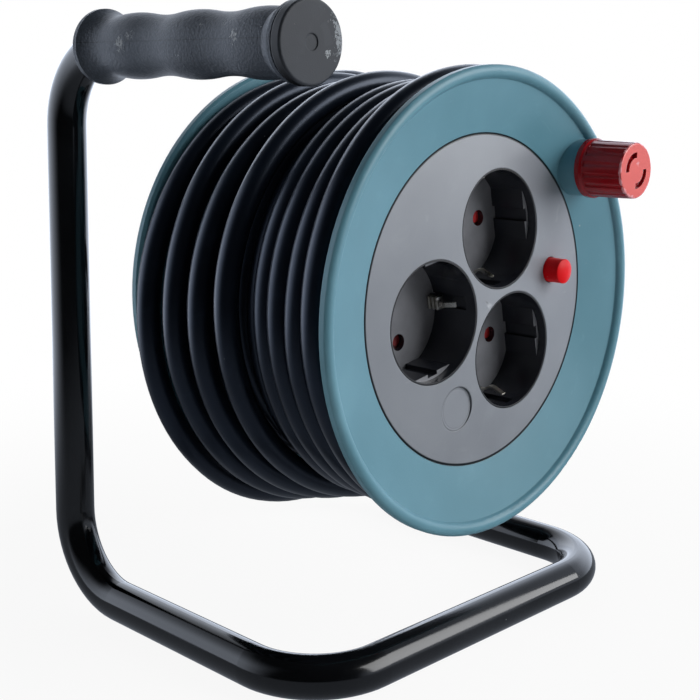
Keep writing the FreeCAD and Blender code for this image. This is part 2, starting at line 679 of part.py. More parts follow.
# The well's thin sleeve lines the panel's hole and is cut off just under its face.
def make_socket_wells():
    rib = "sqrt(socket_radius ^ 2 - socket_flat ^ 2)"
    groove = "(socket_flat + guide_depth)"
    half = "guide_width / 2"
    recess = [
        ("socket_flat", rib),
        ("-socket_flat", rib, "socket_radius"),
        ("-socket_flat", half),
        ("-" + groove, half),
        ("-" + groove, "-" + half),
        ("-socket_flat", "-" + half),
        ("-socket_flat", "-" + rib),
        ("socket_flat", "-" + rib, "socket_radius"),
        ("socket_flat", "-" + half),
        (groove, "-" + half),
        (groove, half),
        ("socket_flat", half),
    ]
    for name, angle, turn in SOCKETS:
        body = new_body("well_blank_" + name)
        discs(body, BASE_FRONT, "%s - %s" % (WELL_SHOULDER, BASE_FRONT),
              [("0", "0", "socket_radius + socket_wall")])
        discs(body, BASE_FRONT, "panel_plane + dome_height - %s" % BASE_FRONT,
              [("0", "0", "socket_radius + mouth_sleeve")])
        discs(body, BASE_FRONT, "chamber_depth", [("0", "0", "socket_radius - 0.6")], "Pocket")
        plates(body, FLOOR_TOP, "socket_depth - guide_drop", [recess], "Pocket")
        discs(body, "%s - guide_drop" % MOUTH_PLANE, "guide_drop + dome_height",
              [("0", "0", "socket_radius")], "Pocket")
        discs(body, FLOOR_BACK, "socket_floor", [
            ("-pin_pitch / 2", "0", "pin_hole"), ("pin_pitch / 2", "0", "pin_hole")], "Pocket")
        discs(body, FLOOR_BACK, "1.5", [("0", "0", "pivot_radius + running_gap")], "Pocket")
        wall = "(socket_radius + earth_groove - 2)"
        plates(body, FLOOR_TOP, "socket_depth - guide_drop", [
            rectangle("0", side + wall, "guide_width", "4") for side in ("", "-")], "Pocket")
        slot = "(strap_reach - strap_thickness / 2)"
        height = "strap_thickness + 4 * push_gap"
        plates(body, FLOOR_BACK, "socket_floor", [
            rectangle("0", side + slot, "guide_width", height) for side in ("", "-")], "Pocket")
        place_on_drum(body, "socket_circle", str(angle), str(turn))
        face = doc.addObject("Part::Sphere", "panel_face")
        face.setExpression("Radius", bound(DOME_ARC))
        place(face, "panel_plane + dome_height - push_gap - %s" % DOME_ARC, "0", "hub_height")
        well = doc.addObject("Part::Common", "socket_well_" + name)
        well.Base = body
        well.Tool = face
        keep(well, "socket_well_" + name)


# One bent strip makes both earth contacts of a socket. The path is its outer
# side, towards the recess wall.
def make_earth_straps():
    bottom = value(BASE_FRONT)
    floor = value(FLOOR_TOP)
    thickness = value("strap_thickness")
    reach = value("strap_reach")
    bulge = value("strap_bulge") + thickness
    width = value("strap_width")
    side = [
        (bottom, reach),
        (floor + 1.8, reach),
        (floor + 6.8, bulge),
        (floor + 11.6, reach - 0.4),
    ]
    path = [Vec(x, -width / 2, z) for x, z in reversed(side)]
    path += [Vec(x, -width / 2, -z) for x, z in side]
    line, radii = bent_wire(path, value("strap_bend"))
    face = line.makeOffset2D(thickness, 0, True, True)
    strap = face.extrude(Vec(0, width, 0))
    foot = value("strap_foot")
    for inner in (reach - thickness, -reach):
        strap = strap.fuse(Part.makeBox(floor + 1.6 - bottom, foot, thickness, Vec(bottom, -foot / 2, inner)))
    strap = strap.removeSplitter()
    for name, angle, turn in SOCKETS:
        piece = shape_piece("earth_strap_" + name, strap.copy())
        place_on_drum(piece, "socket_circle", str(angle), str(turn))


def bar_shape(points, plane):
    line = Part.makePolygon([Vec(0, y, z) for y, z in points])
    half = value("bar_width / 2")
    shape = None
    for y, z in points:
        disc = Part.makeCylinder(half, value("bar_thickness"), Vec(0, y, z), X_AXIS)
        shape = disc if shape is None else shape.fuse(disc)
    for edge in line.Edges:
        start, end = edge.Vertexes[0].Point, edge.Vertexes[1].Point
        along = (end - start).normalize()
        across = X_AXIS.cross(along) * half
        strip = Part.Face(Part.makePolygon([start + across, start - across, end - across, end + across, start + across]))
        shape = shape.fuse(strip.extrude(Vec(value("bar_thickness"), 0, 0)))
    shape.translate(Vec(plane, 0, 0))
    return shape.removeSplitter()


def make_contact_bars():
    pins = [(value(y), value(z)) for y, z in pin_places()]
    start = value("%s - sleeve_length" % BASE_BACK)
    bypass = (0.0, 34.0)
    bars = (
        ("neutral_bar", [pins[0], pins[2], pins[4]], start + 2, []),
        ("live_bar", [pins[3], pins[1], bypass, pins[5]], start + 6, [bypass]),
    )
    for label, points, plane, plain in bars:
        shape = bar_shape(points, plane)
        holes = None
        for y, z in points:
            if (y, z) in plain:
                continue
            sleeve = Part.makeCylinder(value("sleeve_contact"), value("sleeve_length"), Vec(start, y, z), X_AXIS)
            hole = Part.makeCylinder(value("sleeve_bore"), value("sleeve_length + 2"), Vec(start - 1, y, z), X_AXIS)
            shape = shape.fuse(sleeve)
            holes = hole if holes is None else holes.fuse(hole)
        piece = shape_piece(label, shape.cut(holes).removeSplitter())
        place_on_drum(piece)


def make_earth_link():
    centres = [(value(y), value(z)) for y, z in ring_points("socket_circle", [str(angle) for name, angle, turn in SOCKETS])]
    plane = value("%s - bar_thickness" % BASE_BACK)
    shape = bar_shape([centres[0], (0.0, 0.0), centres[1]], plane).fuse(bar_shape([(0.0, 0.0), centres[2]], plane))
    for y, z in centres:
        rivet = Part.makeCylinder(value("pivot_radius"), value("base_thickness + bar_thickness"), Vec(plane, y, z), X_AXIS)
        shape = shape.fuse(rivet)
    piece = shape_piece("earth_link", shape.removeSplitter())
    place_on_drum(piece)


def make_shutters():
    for name, angle, turn in SOCKETS:
        body = new_body("shutter_" + name)
        top = "(%s - slip_gap)" % FLOOR_BACK
        plate = "(%s - slip_gap - shutter_thickness)" % FLOOR_BACK
        foot = "(%s + strap_thickness + slip_gap)" % BASE_FRONT
        end = "(shutter_length / 2 - 1)"
        half = "shutter_width / 2"
        bow = "(((%s) ^ 2 + 1) / 2)" % half
        plates(body, plate, "shutter_thickness", [[
            (end, half, bow),
            ("-" + end, half),
            ("-" + end, "-" + half, bow),
            (end, "-" + half),
        ]])
        discs(body, foot, "%s + 1.4 - %s" % (FLOOR_BACK, foot), [("0", "0", "pivot_radius")])
        discs(body, foot, "%s - %s" % (top, foot), [("0", "0", "3")])
        place_on_drum(body, "socket_circle", str(angle), str(turn))
        keep(body)


def make_overload_breaker():
    body = new_body("overload_breaker")
    shoulder = "(%s - 1.5 - button_travel - 3)" % BUTTON_SEAT
    end = "(panel_plane + dome_height * (1 - ((button_circle + breaker_neck) / %s) ^ 2) - panel_thickness - 0.1)" % PANEL_RADIUS
    plates(body, BASE_FRONT, "%s - %s" % (shoulder, BASE_FRONT),
           [rectangle("button_circle - 1", "0", "breaker_side", "breaker_side + 2")])
    discs(body, shoulder, "%s - %s" % (end, shoulder), [("button_circle", "0", "breaker_neck")])
    discs(body, shoulder + " + 1.5", "20", [("button_circle", "0", "button_collar + slip_gap")], "Pocket")
    place_on_drum(body)
    keep(body)


def make_reset_button():
    body = new_body("reset_button")
    seat = "(%s - 1.5)" % BUTTON_SEAT
    face = "(%s + button_height)" % BUTTON_FACE
    revolve(body, [
        (seat, "0"),
        (face, "0"),
        (face + " - 0.9", "button_radius", "8"),
        (BUTTON_SEAT, "button_radius"),
        (BUTTON_SEAT, "button_collar"),
        (seat, "button_collar"),
    ])
    place_on_drum(body, "button_circle", "0")
    keep(body)


# Winding knob

def make_knob_spindle():
    body = new_body("knob_spindle")
    foot = "(panel_plane + %s * (%s - mouth_radius) - %s + 0.6)" % (WEB_SLOPE, KNOB_CIRCLE, WEB_RUN)
    head = "(%s + knob_length - 4.4)" % KNOB_PLANE
    revolve(body, [
        (foot, "0"),
        (foot, "spindle_radius"),
        (head, "spindle_radius"),
        (head, "spindle_head"),
        (head + " + 1.6", "spindle_head - 0.8"),
        (head + " + 1.6", "0"),
    ])
    place_on_drum(body, KNOB_CIRCLE, "knob_angle")
    keep(body)


def make_crank_knob():
    body = new_body("crank_knob")
    end = "(%s + knob_length)" % KNOB_PLANE
    bore = "(spindle_radius + running_gap)"
    snap = "(%s + knob_length - 4.4 - slip_gap)" % KNOB_PLANE
    revolve(body, [
        (KNOB_PLANE, bore),
        (snap, bore),
        (snap, "spindle_head + slip_gap"),
        (end + " - 2.2", "spindle_head + slip_gap"),
        (end + " - 2.2", "0"),
        (end, "0"),
        (end, "knob_end - 0.7"),
        (end + " - 0.7", "knob_end", "0.7"),
        (KNOB_PLANE + " + 2.4", "knob_radius"),
        (KNOB_PLANE + " + 1.8", "knob_base"),
        (KNOB_PLANE, "knob_base"),
    ])
    flute = discs(body, KNOB_PLANE + " + 3.0", "knob_length",
                  [("knob_radius + flute_radius - flute_depth", "0", "flute_radius")], "Pocket")
    repeat(body, flute, "flute_count")
    inner = "(key_circle - key_width / 2)"
    outer = "(key_circle + key_width / 2)"
    slots = []
    for low, high in (("key_angle - 48", "key_angle + 48"), ("key_angle + 132", "key_angle + 228")):
        slots.append([
            ("%s * cos(%s)" % (outer, low), "%s * sin(%s)" % (outer, low)),
            ("%s * cos(%s)" % (outer, high), "%s * sin(%s)" % (outer, high), outer),
            ("%s * cos(%s)" % (inner, high), "%s * sin(%s)" % (inner, high)),
            ("%s * cos(%s)" % (inner, low), "%s * sin(%s)" % (inner, low), "-" + inner),
        ])
    plates(body, end + " - key_depth", "key_depth + 1", slots, "Pocket")
    place_on_drum(body, KNOB_CIRCLE, "knob_angle")
    keep(body)


# Cable

def make_cable_entry():
    plane = value(ENTRY_PLANE)
    down = Vec(0, 0, -1)
    wall_inside = Vec(plane, 0, -value(BORE))
    neck = Part.makeCylinder(value("grommet_radius"), value("wall + 3.4"), wall_inside - down * 2.4, down)
    collar = Part.makeCylinder(value("grommet_radius + grommet_collar"), 1.2, wall_inside - down * 2.4, down)
    reach = value("grommet_radius + grommet_collar")
    rear = Vec(plane - reach, 0, 0)
    barrel = Part.makeCylinder(value("barrel_radius"), 2 * reach, rear, X_AXIS)
    bore = Part.makeCylinder(value("cable_radius + push_gap"), 2 * reach, wall_inside - down * reach, down)
    grommet = neck.fuse(collar).common(barrel).cut(bore).removeSplitter()
    place_on_drum(shape_piece("cord_grommet", grommet))

    tip = value("clamp_circle - clamp_width")
    lead = Part.makeCylinder(value("cable_radius"), value(COIL_BORE) - tip, Vec(plane, 0, -tip), down)
    lead = lead.common(Part.makeCylinder(value(COIL_BORE), 2 * reach, rear, X_AXIS))
    place_on_drum(shape_piece("cable_lead_in", lead))

    thickness = value("clamp_thickness")
    width = value("clamp_width")
    length = value("clamp_length")
    face = value(CLAMP_FACE)
    corner = Vec(face - thickness, -length / 2, -value("clamp_circle") - width / 2)
    clamp = Part.makeBox(thickness, length, width, corner)
    clamp = clamp.makeFillet(1.0, [edge for edge in clamp.Edges if abs(edge.tangentAt(0).x) > 0.9])
    screws = []
    for y, z in clamp_places():
        seat = Vec(face - thickness, value(y), value(z))
        shank = Part.makeCylinder(1.2, thickness + 5, seat, X_AXIS)
        head = Part.makeCylinder(2.4, 1.8, seat - X_AXIS * 1.8, X_AXIS)
        clamp = clamp.cut(shank)
        screws.append(shank.fuse(head).removeSplitter())
    place_on_drum(shape_piece("cord_clamp", clamp))
    place_on_drum(shape_piece("clamp_screws", Part.makeCompound(screws)))


def make_cable_winding():
    outside = doc.addObject("Part::Cylinder", "winding_outside")
    outside.setExpression("Radius", bound("coil_radius"))
    outside.setExpression("Height", bound("%s - %s" % (COIL_FRONT, COIL_REAR)))
    inside = doc.addObject("Part::Cylinder", "winding_bore")
    inside.setExpression("Radius", bound(COIL_BORE))
    inside.setExpression("Height", bound("%s - %s + 2" % (COIL_FRONT, COIL_REAR)))
    for cylinder, drop, start in ((outside, "coil_drop", COIL_REAR), (inside, "0", COIL_REAR + " - 1")):
        cylinder.Placement = FreeCAD.Placement(Vec(0, 0, 0), FreeCAD.Rotation(Y_AXIS, 90))
        cylinder.setExpression("Placement.Base.x", bound(start))
        cylinder.setExpression("Placement.Base.z", bound("hub_height - %s" % drop))
    winding = doc.addObject("Part::Cut", "cable_winding")
    winding.Base = outside
    winding.Tool = inside
    keep(winding, "cable_winding")


# The free end of the cable: out of the plug in the drum's hollow rear, round
# behind the flange, over the rim and onto the winding.
TAIL = (
    (-33.0, 19.24, -40.4),
    (-33.0, 34.0, -45.77),
    (-33.4, 52.0, -46.4),
    (-34.0, 69.1, -40.7),
    (-34.2, 83.1, -29.0),
    (-33.6, 92.6, -11.7),
    (-32.0, 94.4, 8.0),
    (-29.0, 89.8, 27.4),
    (-24.8, 80.0, 44.5),
    (-20.8, 66.3, 57.3),
    (-18.5, 51.4, 63.8),
)


def make_cable_tail():
    points = [Vec(x, y, value("hub_height") + z) for x, y, z in TAIL]
    wire, radii = bent_wire(points)
    tail = tube_along(wire, value("cable_radius"))
    ideal = math.pi * value("cable_radius") ** 2 * wire.Length
    print("cable tail: length %.1f, radii %s" % (wire.Length, ", ".join("%.0f" % radius for radius in radii)))
    print("cable tail: volume over section times length %.4f" % (tail.Volume / ideal))
    shape_piece("cable_tail", tail)


# Plug, parked in the hollow rear of the drum. Its own frame has the pins
# along +X and the cable sleeve along +Y.
def place_plug(piece):
    place(piece, "plug_face",
          "%s * cos(plug_angle)" % PLUG_CIRCLE,
          "hub_height + %s * sin(plug_angle)" % PLUG_CIRCLE,
          "plug_turn")


def make_plug_body():
    body = new_body("plug_body")
    depth = "(-plug_depth)"
    revolve(body, [
        ("0", "0"),
        ("0", "plug_radius - 1"),
        ("-1", "plug_radius", "1"),
        ("-9", "plug_radius"),
        ("-12", "plug_radius - 2.2"),
        (depth + " + 4", "plug_radius - 4"),
        (depth, "plug_radius - 8", "4.5"),
        (depth, "0"),
    ])
    sketch = new_sketch(body, "XZ_Plane")
    sleeve = "(plug_depth - 10)"
    add_circle(sketch, "-" + sleeve, "0", "cable_radius + 2.6")
    pad = add_feature(body, "Pad", sketch, Length="plug_sleeve - 7")
    pad.Reversed = True     # a sketch on XZ pads towards -Y
    tip = new_sketch(body, "XZ_Plane")
    add_circle(tip, "-" + sleeve, "0", "cable_radius + 1.4")
    pad_tip = add_feature(body, "Pad", tip, Length="plug_sleeve")
    pad_tip.Reversed = True
    doc.recompute()
    for side in ("", "-"):
        discs(body, "-8", "9", [("%s(plug_radius + 1)" % side, "0", "3.2")], "Pocket")
    discs(body, "-14", "15", [("0", "pin_pitch / 2", "plug_pin_radius"), ("0", "-pin_pitch / 2", "plug_pin_radius")],
          "Pocket")
    place_plug(body)
    keep(body)


def make_plug_pins():
    body = new_body("plug_pins", 2)
    places = [("0", "pin_pitch / 2"), ("0", "-pin_pitch / 2")]
    discs(body, "-14", "14 + plug_pin_length - 1.6", [spot + ("plug_pin_radius",) for spot in places])
    discs(body, "plug_pin_length - 1.6", "1.6", [spot + ("plug_pin_radius - 0.7",) for spot in places])
    place_plug(body)
    keep(body)


make_frame_tube()
make_handle_grip()
make_grip_end_cap()
make_axle_rings()
make_front_flange()
make_rear_flange()
make_hub_bush()
make_drum_screws()
make_socket_panel()
make_panel_screws()
make_contact_base()
make_socket_wells()
make_earth_straps()
make_contact_bars()
make_earth_link()
make_shutters()
make_overload_breaker()
make_reset_button()
make_knob_spindle()
make_crank_knob()
make_cable_entry()
make_cable_winding()
make_cable_tail()
make_plug_body()
make_plug_pins()
doc.recompute()

for item in doc.Objects:
    if "Invalid" in item.State or "Error" in item.State:
        raise RuntimeError("%s failed: %s" % (item.Label, item.State))
os.makedirs("parts", exist_ok=True)
for piece in nodes:
    if piece.Shape.isNull() or not piece.Shape.isValid():
        raise RuntimeError("%s has no valid shape" % piece.Label)
    piece.Shape.exportStep("parts/%s.step" % piece.Label)
    box = piece.Shape.BoundBox
    print("%-18s solids %d  X %.1f %.1f  Y %.1f %.1f  Z %.1f %.1f" % (
        piece.Label, len(piece.Shape.Solids), box.XMin, box.XMax, box.YMin, box.YMax, box.ZMin, box.ZMax))
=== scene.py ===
import json
import math

import bpy
from mathutils import Matrix, Vector


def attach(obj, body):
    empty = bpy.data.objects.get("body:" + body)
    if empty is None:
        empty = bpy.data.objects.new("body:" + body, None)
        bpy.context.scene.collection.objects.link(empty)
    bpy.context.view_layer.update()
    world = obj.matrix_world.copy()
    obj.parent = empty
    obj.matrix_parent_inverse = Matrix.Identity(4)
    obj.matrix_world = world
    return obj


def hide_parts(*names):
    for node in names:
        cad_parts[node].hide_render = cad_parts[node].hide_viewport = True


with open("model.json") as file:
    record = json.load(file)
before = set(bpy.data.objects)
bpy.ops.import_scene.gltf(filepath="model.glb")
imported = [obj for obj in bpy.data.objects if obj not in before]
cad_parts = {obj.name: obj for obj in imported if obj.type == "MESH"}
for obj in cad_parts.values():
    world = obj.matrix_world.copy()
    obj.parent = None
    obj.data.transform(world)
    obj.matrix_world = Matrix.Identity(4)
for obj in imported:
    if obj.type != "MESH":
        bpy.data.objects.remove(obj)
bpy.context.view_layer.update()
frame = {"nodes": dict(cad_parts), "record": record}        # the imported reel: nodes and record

nodes = frame["nodes"]
print("reel loaded:", len(nodes), "nodes")


def linearColour(hexText):
    # sRGB hex to the linear values that shaders take
    channels = [int(hexText[i:i + 2], 16) / 255 for i in (1, 3, 5)]
    linear = [c / 12.92 if c <= 0.04045 else ((c + 0.055) / 1.055) ** 2.4 for c in channels]
    return (*linear, 1.0)


def addNode(tree, kind, sockets=None, stops=None, **settings):
    # a socket goes by its name, or by its number where a node repeats a name
    # it takes a number, a colour in hex, another node or one of that node's outputs
    node = tree.nodes.new(kind)
    for name, setting in settings.items():
        setattr(node, name, setting)
    for socket, given in (sockets or {}).items():
        if isinstance(given, bpy.types.Node):
            given = given.outputs[0]
        if isinstance(given, bpy.types.NodeSocket):
            tree.links.new(given, node.inputs[socket])
        elif isinstance(given, str):
            node.inputs[socket].default_value = linearColour(given)
        else:
            node.inputs[socket].default_value = given
    for index, (position, colour) in enumerate(stops or []):
        if index >= len(node.color_ramp.elements):
            node.color_ramp.elements.new(1.0)
        node.color_ramp.elements[index].position = position
        node.color_ramp.elements[index].color = linearColour(colour)
    return node


# camera
camera = {
    "place": (0.3368, -0.3386, 0.1938),
    "forward": (-0.6991, 0.7044, -0.1223),
    "roll": 0.0043,             # radians
    "lens": 66.8,               # mm
    "sensor": 36,               # mm wide
    "shiftY": -0.16,            # the photograph keeps uprights nearly upright
    "clip": (0.02, 30),
}


def placeCamera(c):
    forward = Vector(c["forward"]).normalized()
    right = forward.cross(Vector((0, 0, 1))).normalized()
    up = right.cross(forward)
    rightRolled = math.cos(c["roll"]) * right + math.sin(c["roll"]) * up
    upRolled = -math.sin(c["roll"]) * right + math.cos(c["roll"]) * up
    data = bpy.data.cameras.new("reelCamera")
    data.sensor_width = c["sensor"]
    data.lens = c["lens"]
    data.shift_y = c["shiftY"]
    data.clip_start, data.clip_end = c["clip"]
    cam = bpy.data.objects.new("reelCamera", data)
    bpy.context.scene.collection.objects.link(cam)
    basis = Matrix((rightRolled, upRolled, -forward)).transposed().to_4x4()
    cam.matrix_world = Matrix.Translation(Vector(c["place"])) @ basis
    bpy.context.scene.camera = cam


placeCamera(camera)
print("camera placed")


# cable
# angles are in degrees about the axle: 0 on the far side, 90 on top, 180 on the near side
cable = {
    "diameter": 0.0082,
    "axle": 0.1195,             # height of the drum's axle
    "perTurn": 24,              # points in a turn
    "barrelExit": (0.0313, 0.00912, 0.0678),
    "startAngle": 280.0,        # where the cable comes through the barrel
    # place along the axle, then radius on the far side, top, near side and bottom, mm, from the barrel out
    "turns": [
        (33.0, 56.9, 56.9, 56.9, 56.9), (44.0, 56.9, 56.9, 56.9, 56.9), (55.0, 56.9, 56.9, 56.9, 56.9),
        (49.2, 62.8, 62.8, 62.8, 62.8), (37.8, 62.8, 62.8, 62.8, 62.8),
        (20.4, 56.9, 56.9, 56.9, 56.9), (8.9, 56.9, 56.9, 56.9, 56.9), (-2.6, 56.9, 56.9, 56.9, 56.9),
        (-14.1, 56.9, 56.9, 56.9, 56.9),
        (-8.4, 62.8, 62.8, 62.8, 62.8), (3.2, 62.8, 62.8, 62.8, 62.8), (14.7, 62.8, 62.8, 62.8, 62.8),
        (27.6, 65.5, 65.5, 68.6, 65.5),
        (35.8, 70.6, 70.0, 72.6, 68.4), (43.0, 70.8, 70.4, 73.0, 68.6), (51.0, 70.8, 70.6, 73.2, 69.2),
        (58.4, 73.0, 75.0, 73.8, 70.6),
        (22.0, 71.4, 72.8, 77.2, 71.4), (8.6, 71.0, 69.6, 77.0, 75.0), (-5.0, 71.6, 72.2, 77.0, 78.6),
        (-18.8, 71.8, 71.0, 77.6, 83.2),
    ],
    "wander": 0.5,              # how far a turn strays along the drum, mm
    "wanderShift": 1.7,         # radians from one turn's straying to the next's
    "crossing": (-58.0, 52.0),  # where a turn steps to the next, on the far side
    "overTurn": 16,             # after this turn the cable runs back over the three before it
    "overRise": 8.6,            # mm
    "overRamp": 0.25,           # share of the step in which it climbs, and then comes down
    "leaveAngle": 51.1,         # the last turn leaves for the rear rim here
    "leaveRadius": 81.9,
    "leaveRun": 46.0,           # degrees in which it lifts off the winding
    "leaveSpare": 12.0,         # degrees before that angle where the free end's points take over
    "divisions": 5,             # of the spline between points, and of a quarter of its round
}

# the free end from the winding over the rear rim to the plug, the same points as the solid's, metres
freeEnd = [
    (-0.0185, 0.0514, 0.1833), (-0.0208, 0.0663, 0.1768), (-0.0248, 0.0800, 0.1640),
    (-0.0290, 0.0898, 0.1469), (-0.0320, 0.0944, 0.1275), (-0.0336, 0.0926, 0.1078),
    (-0.0342, 0.0831, 0.0905), (-0.0340, 0.0691, 0.0788), (-0.0334, 0.0520, 0.0731),
    (-0.0330, 0.0340, 0.07373), (-0.0330, 0.01924, 0.0791),
]


def smoothStep(t):
    t = min(1.0, max(0.0, t))
    return t * t * (3 - 2 * t)


def turnRadius(turn, angle):
    far, top, near, bottom = turn[1:]
    mean = (far + top + near + bottom) / 4
    twice = (far + near - top - bottom) / 4
    a = math.radians(angle)
    return (mean + (far - near) / 2 * math.cos(a) + (top - bottom) / 2 * math.sin(a)
            + twice * math.cos(2 * a))


def windingPoints(c):
    # the angle falls from the barrel outwards, and each step to the next turn is on the far side
    points = []
    turns = c["turns"]
    low, high = c["crossing"]
    step = 360 / c["perTurn"]
    inside = 0.75 + 0.25 * math.cos(math.radians(step))     # the spline's share of its points' radius
    leave = -360.0 * (len(turns) - 1) + c["leaveAngle"]
    angle = c["startAngle"]
    while angle > leave + c["leaveSpare"]:
        whole = math.floor(angle / 360.0 + 0.5)             # turns are counted between the far sides
        local = angle - 360.0 * whole                       # -180 to 180
        index = -whole
        before, after = (turns[min(max(i, 0), len(turns) - 1)] for i in (index, index + 1))
        mix = smoothStep((high - local) / (high - low))
        x = before[0] + (after[0] - before[0]) * mix
        radius = turnRadius(before, angle) * (1 - mix) + turnRadius(after, angle) * mix
        if index == c["overTurn"]:
            radius += c["overRise"] * smoothStep(mix / c["overRamp"]) * smoothStep((1 - mix) / c["overRamp"])
        radius += (c["leaveRadius"] - radius) * (1 - smoothStep((angle - leave) / c["leaveRun"]))
        a = math.radians(angle)
        x += c["wander"] * math.sin(2 * a + c["wanderShift"] * index) * math.sin(a / 2) ** 2
        radius /= inside * 1000
        points.append((x / 1000, radius * math.cos(a), c["axle"] + radius * math.sin(a)))
        angle -= step
    return points


def makeCable(c):
    curve = bpy.data.curves.new("reelCable", "CURVE")
    curve.dimensions = "3D"
    spline = curve.splines.new("NURBS")
    points = windingPoints(c) + freeEnd
    spline.points.add(len(points) - 1)
    for point, place in zip(spline.points, points):
        point.co = (*place, 1.0)
        point.radius = c["diameter"] / 2        # times the bevel of 1 m
    spline.order_u = 3
    spline.use_endpoint_u = True
    spline.resolution_u = c["divisions"]
    curve.bevel_depth = 1.0
    curve.bevel_resolution = c["divisions"]
    curve.use_fill_caps = True
    piece = bpy.data.objects.new("reelCable", curve)
    bpy.context.scene.collection.objects.link(piece)
    return piece


reelCable = makeCable(cable)
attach(reelCable, "drum")
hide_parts("cable_winding", "cable_tail")
print("cable wound:", len(reelCable.data.splines[0].points), "points")


# strain relief: a ribbed rubber boot, tapered, on the cable at the plug's sleeve
boot = {
    "length": 0.026,
    "fatRadius": 0.0056,        # at the plug
    "slimRadius": 0.0044,
    "ribs": 6,
    "ribRise": 0.0005,
    "ringsPerRib": 4,
    "sides": 28,
    "smoothBelow": 50,          # degrees between faces
}


def cableLine():
    # points along the middle of the cable, from its own spline without the bevel, the plug's end first
    bare = reelCable.data.copy()
    bare.bevel_depth = 0.0
    holder = bpy.data.objects.new("cableLine", bare)
    bpy.context.scene.collection.objects.link(holder)
    bpy.context.view_layer.update()
    line = bpy.data.meshes.new_from_object(holder.evaluated_get(bpy.context.evaluated_depsgraph_get()))
    points = [v.co.copy() for v in line.vertices]
    bpy.data.objects.remove(holder)
    bpy.data.meshes.remove(line)
    bpy.data.curves.remove(bare)
    return points[::-1]


def pointAlong(points, distance):
    # place and direction at a distance along the points
    for start, end in zip(points, points[1:]):
        run = (end - start).length
        if distance <= run:
            return start + (end - start) * (distance / run), (end - start).normalized()
        distance -= run
    return points[-1], (points[-1] - points[-2]).normalized()


def makeBoot(c):
    # rings are (distance along the cable, radius), closed down onto the cable at both ends
    onCable = cable["diameter"] / 2
    count = c["ribs"] * c["ringsPerRib"]
    rings = [(0.0, onCable)]
    for i in range(count + 1):
        taper = c["fatRadius"] + (c["slimRadius"] - c["fatRadius"]) * i / count
        rise = c["ribRise"] * (0.5 - 0.5 * math.cos(2 * math.pi * i / c["ringsPerRib"]))
        rings.append((c["length"] * i / count, taper + rise))
    rings.append((c["length"], onCable))

    line = cableLine()
    bpy.ops.object.select_all(action="DESELECT")
    bpy.ops.mesh.primitive_circle_add(vertices=c["sides"], radius=1.0, location=(0, 0, 0))
    piece = bpy.context.object
    piece.name = "plugBoot"
    bpy.ops.object.mode_set(mode="EDIT")
    for _ in rings[1:]:
        bpy.ops.mesh.extrude_region_move(TRANSFORM_OT_translate={"value": (0, 0, 1.0)})
    bpy.ops.object.mode_set(mode="OBJECT")
    # a ring's height counts it, until it is laid round the cable
    for vertex in piece.data.vertices:
        distance, radius = rings[round(vertex.co.z)]
        place, along = pointAlong(line, distance)
        side = along.cross(Vector((1, 0, 0))).normalized()
        front = side.cross(along)
        angle = math.atan2(vertex.co.y, vertex.co.x)
        vertex.co = place + (side * math.cos(angle) + front * math.sin(angle)) * radius
    bpy.ops.object.mode_set(mode="EDIT")
    bpy.ops.mesh.select_all(action="SELECT")
    bpy.ops.mesh.normals_make_consistent(inside=False)
    bpy.ops.object.mode_set(mode="OBJECT")
    bpy.ops.object.shade_smooth_by_angle(angle=math.radians(c["smoothBelow"]))
    return piece


plugBoot = makeBoot(boot)
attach(plugBoot, "drum")
print("boot on the cable:", len(plugBoot.data.vertices), "points")


# earth contacts: a strip folded like a bellows at the root of one finger of each pair
bellows = {
    "floor": 0.0470,            # the recess floor, along the axle
    "folds": 3,
    "pitch": 0.0017,
    "inner": 0.0158,            # from the socket's centre
    "outer": 0.0186,
    "width": 0.0044,
    "thickness": 0.0005,
    "rounding": 0.00018,
    "roundingSegments": 2,
    "smoothBelow": 40,          # degrees between faces
    # each socket's centre, y and z, and the turn of its contacts about the axle in degrees
    "sockets": [(0.0086, 0.1431, 10.0), (0.0162, 0.1002, 10.0), (-0.0248, 0.1151, -80.0)],
}


def makeBellows(c, y, z, turn):
    bpy.ops.object.select_all(action="DESELECT")
    bpy.ops.mesh.primitive_plane_add(size=c["width"], location=(c["floor"], 0, c["outer"]))
    strip = bpy.context.object
    strip.name = "earthBellows"
    bpy.ops.object.transform_apply(location=True, rotation=False, scale=False)
    # only the plane's front edge stays, and the strip is drawn out of it
    bpy.ops.object.mode_set(mode="EDIT")
    bpy.ops.mesh.select_all(action="DESELECT")
    bpy.ops.object.mode_set(mode="OBJECT")
    for vertex in strip.data.vertices:
        vertex.select = vertex.co.x < c["floor"]
    bpy.ops.object.mode_set(mode="EDIT")
    bpy.ops.mesh.delete(type="VERT")
    bpy.ops.mesh.select_all(action="SELECT")
    bpy.ops.transform.translate(value=(-c["width"] / 2, 0, 0))
    reach = c["outer"] - c["inner"]
    for _ in range(c["folds"]):
        for outward in (0, -reach, 0, reach):
            value = (c["pitch"] / 4, 0, outward)
            bpy.ops.mesh.extrude_region_move(TRANSFORM_OT_translate={"value": value})
    bpy.ops.mesh.select_all(action="SELECT")
    bpy.ops.transform.rotate(value=-math.radians(turn), orient_axis="X", center_override=(0, 0, 0))
    bpy.ops.transform.translate(value=(0, y, z))
    bpy.ops.object.mode_set(mode="OBJECT")
    solid = strip.modifiers.new("thickness", "SOLIDIFY")
    solid.thickness = c["thickness"]
    solid.offset = 0
    rounded = strip.modifiers.new("rolled edges", "BEVEL")
    rounded.width = c["rounding"]
    rounded.segments = c["roundingSegments"]
    bpy.ops.object.modifier_apply(modifier="thickness")
    bpy.ops.object.modifier_apply(modifier="rolled edges")
    bpy.ops.object.shade_smooth_by_angle(angle=math.radians(c["smoothBelow"]))
    return strip


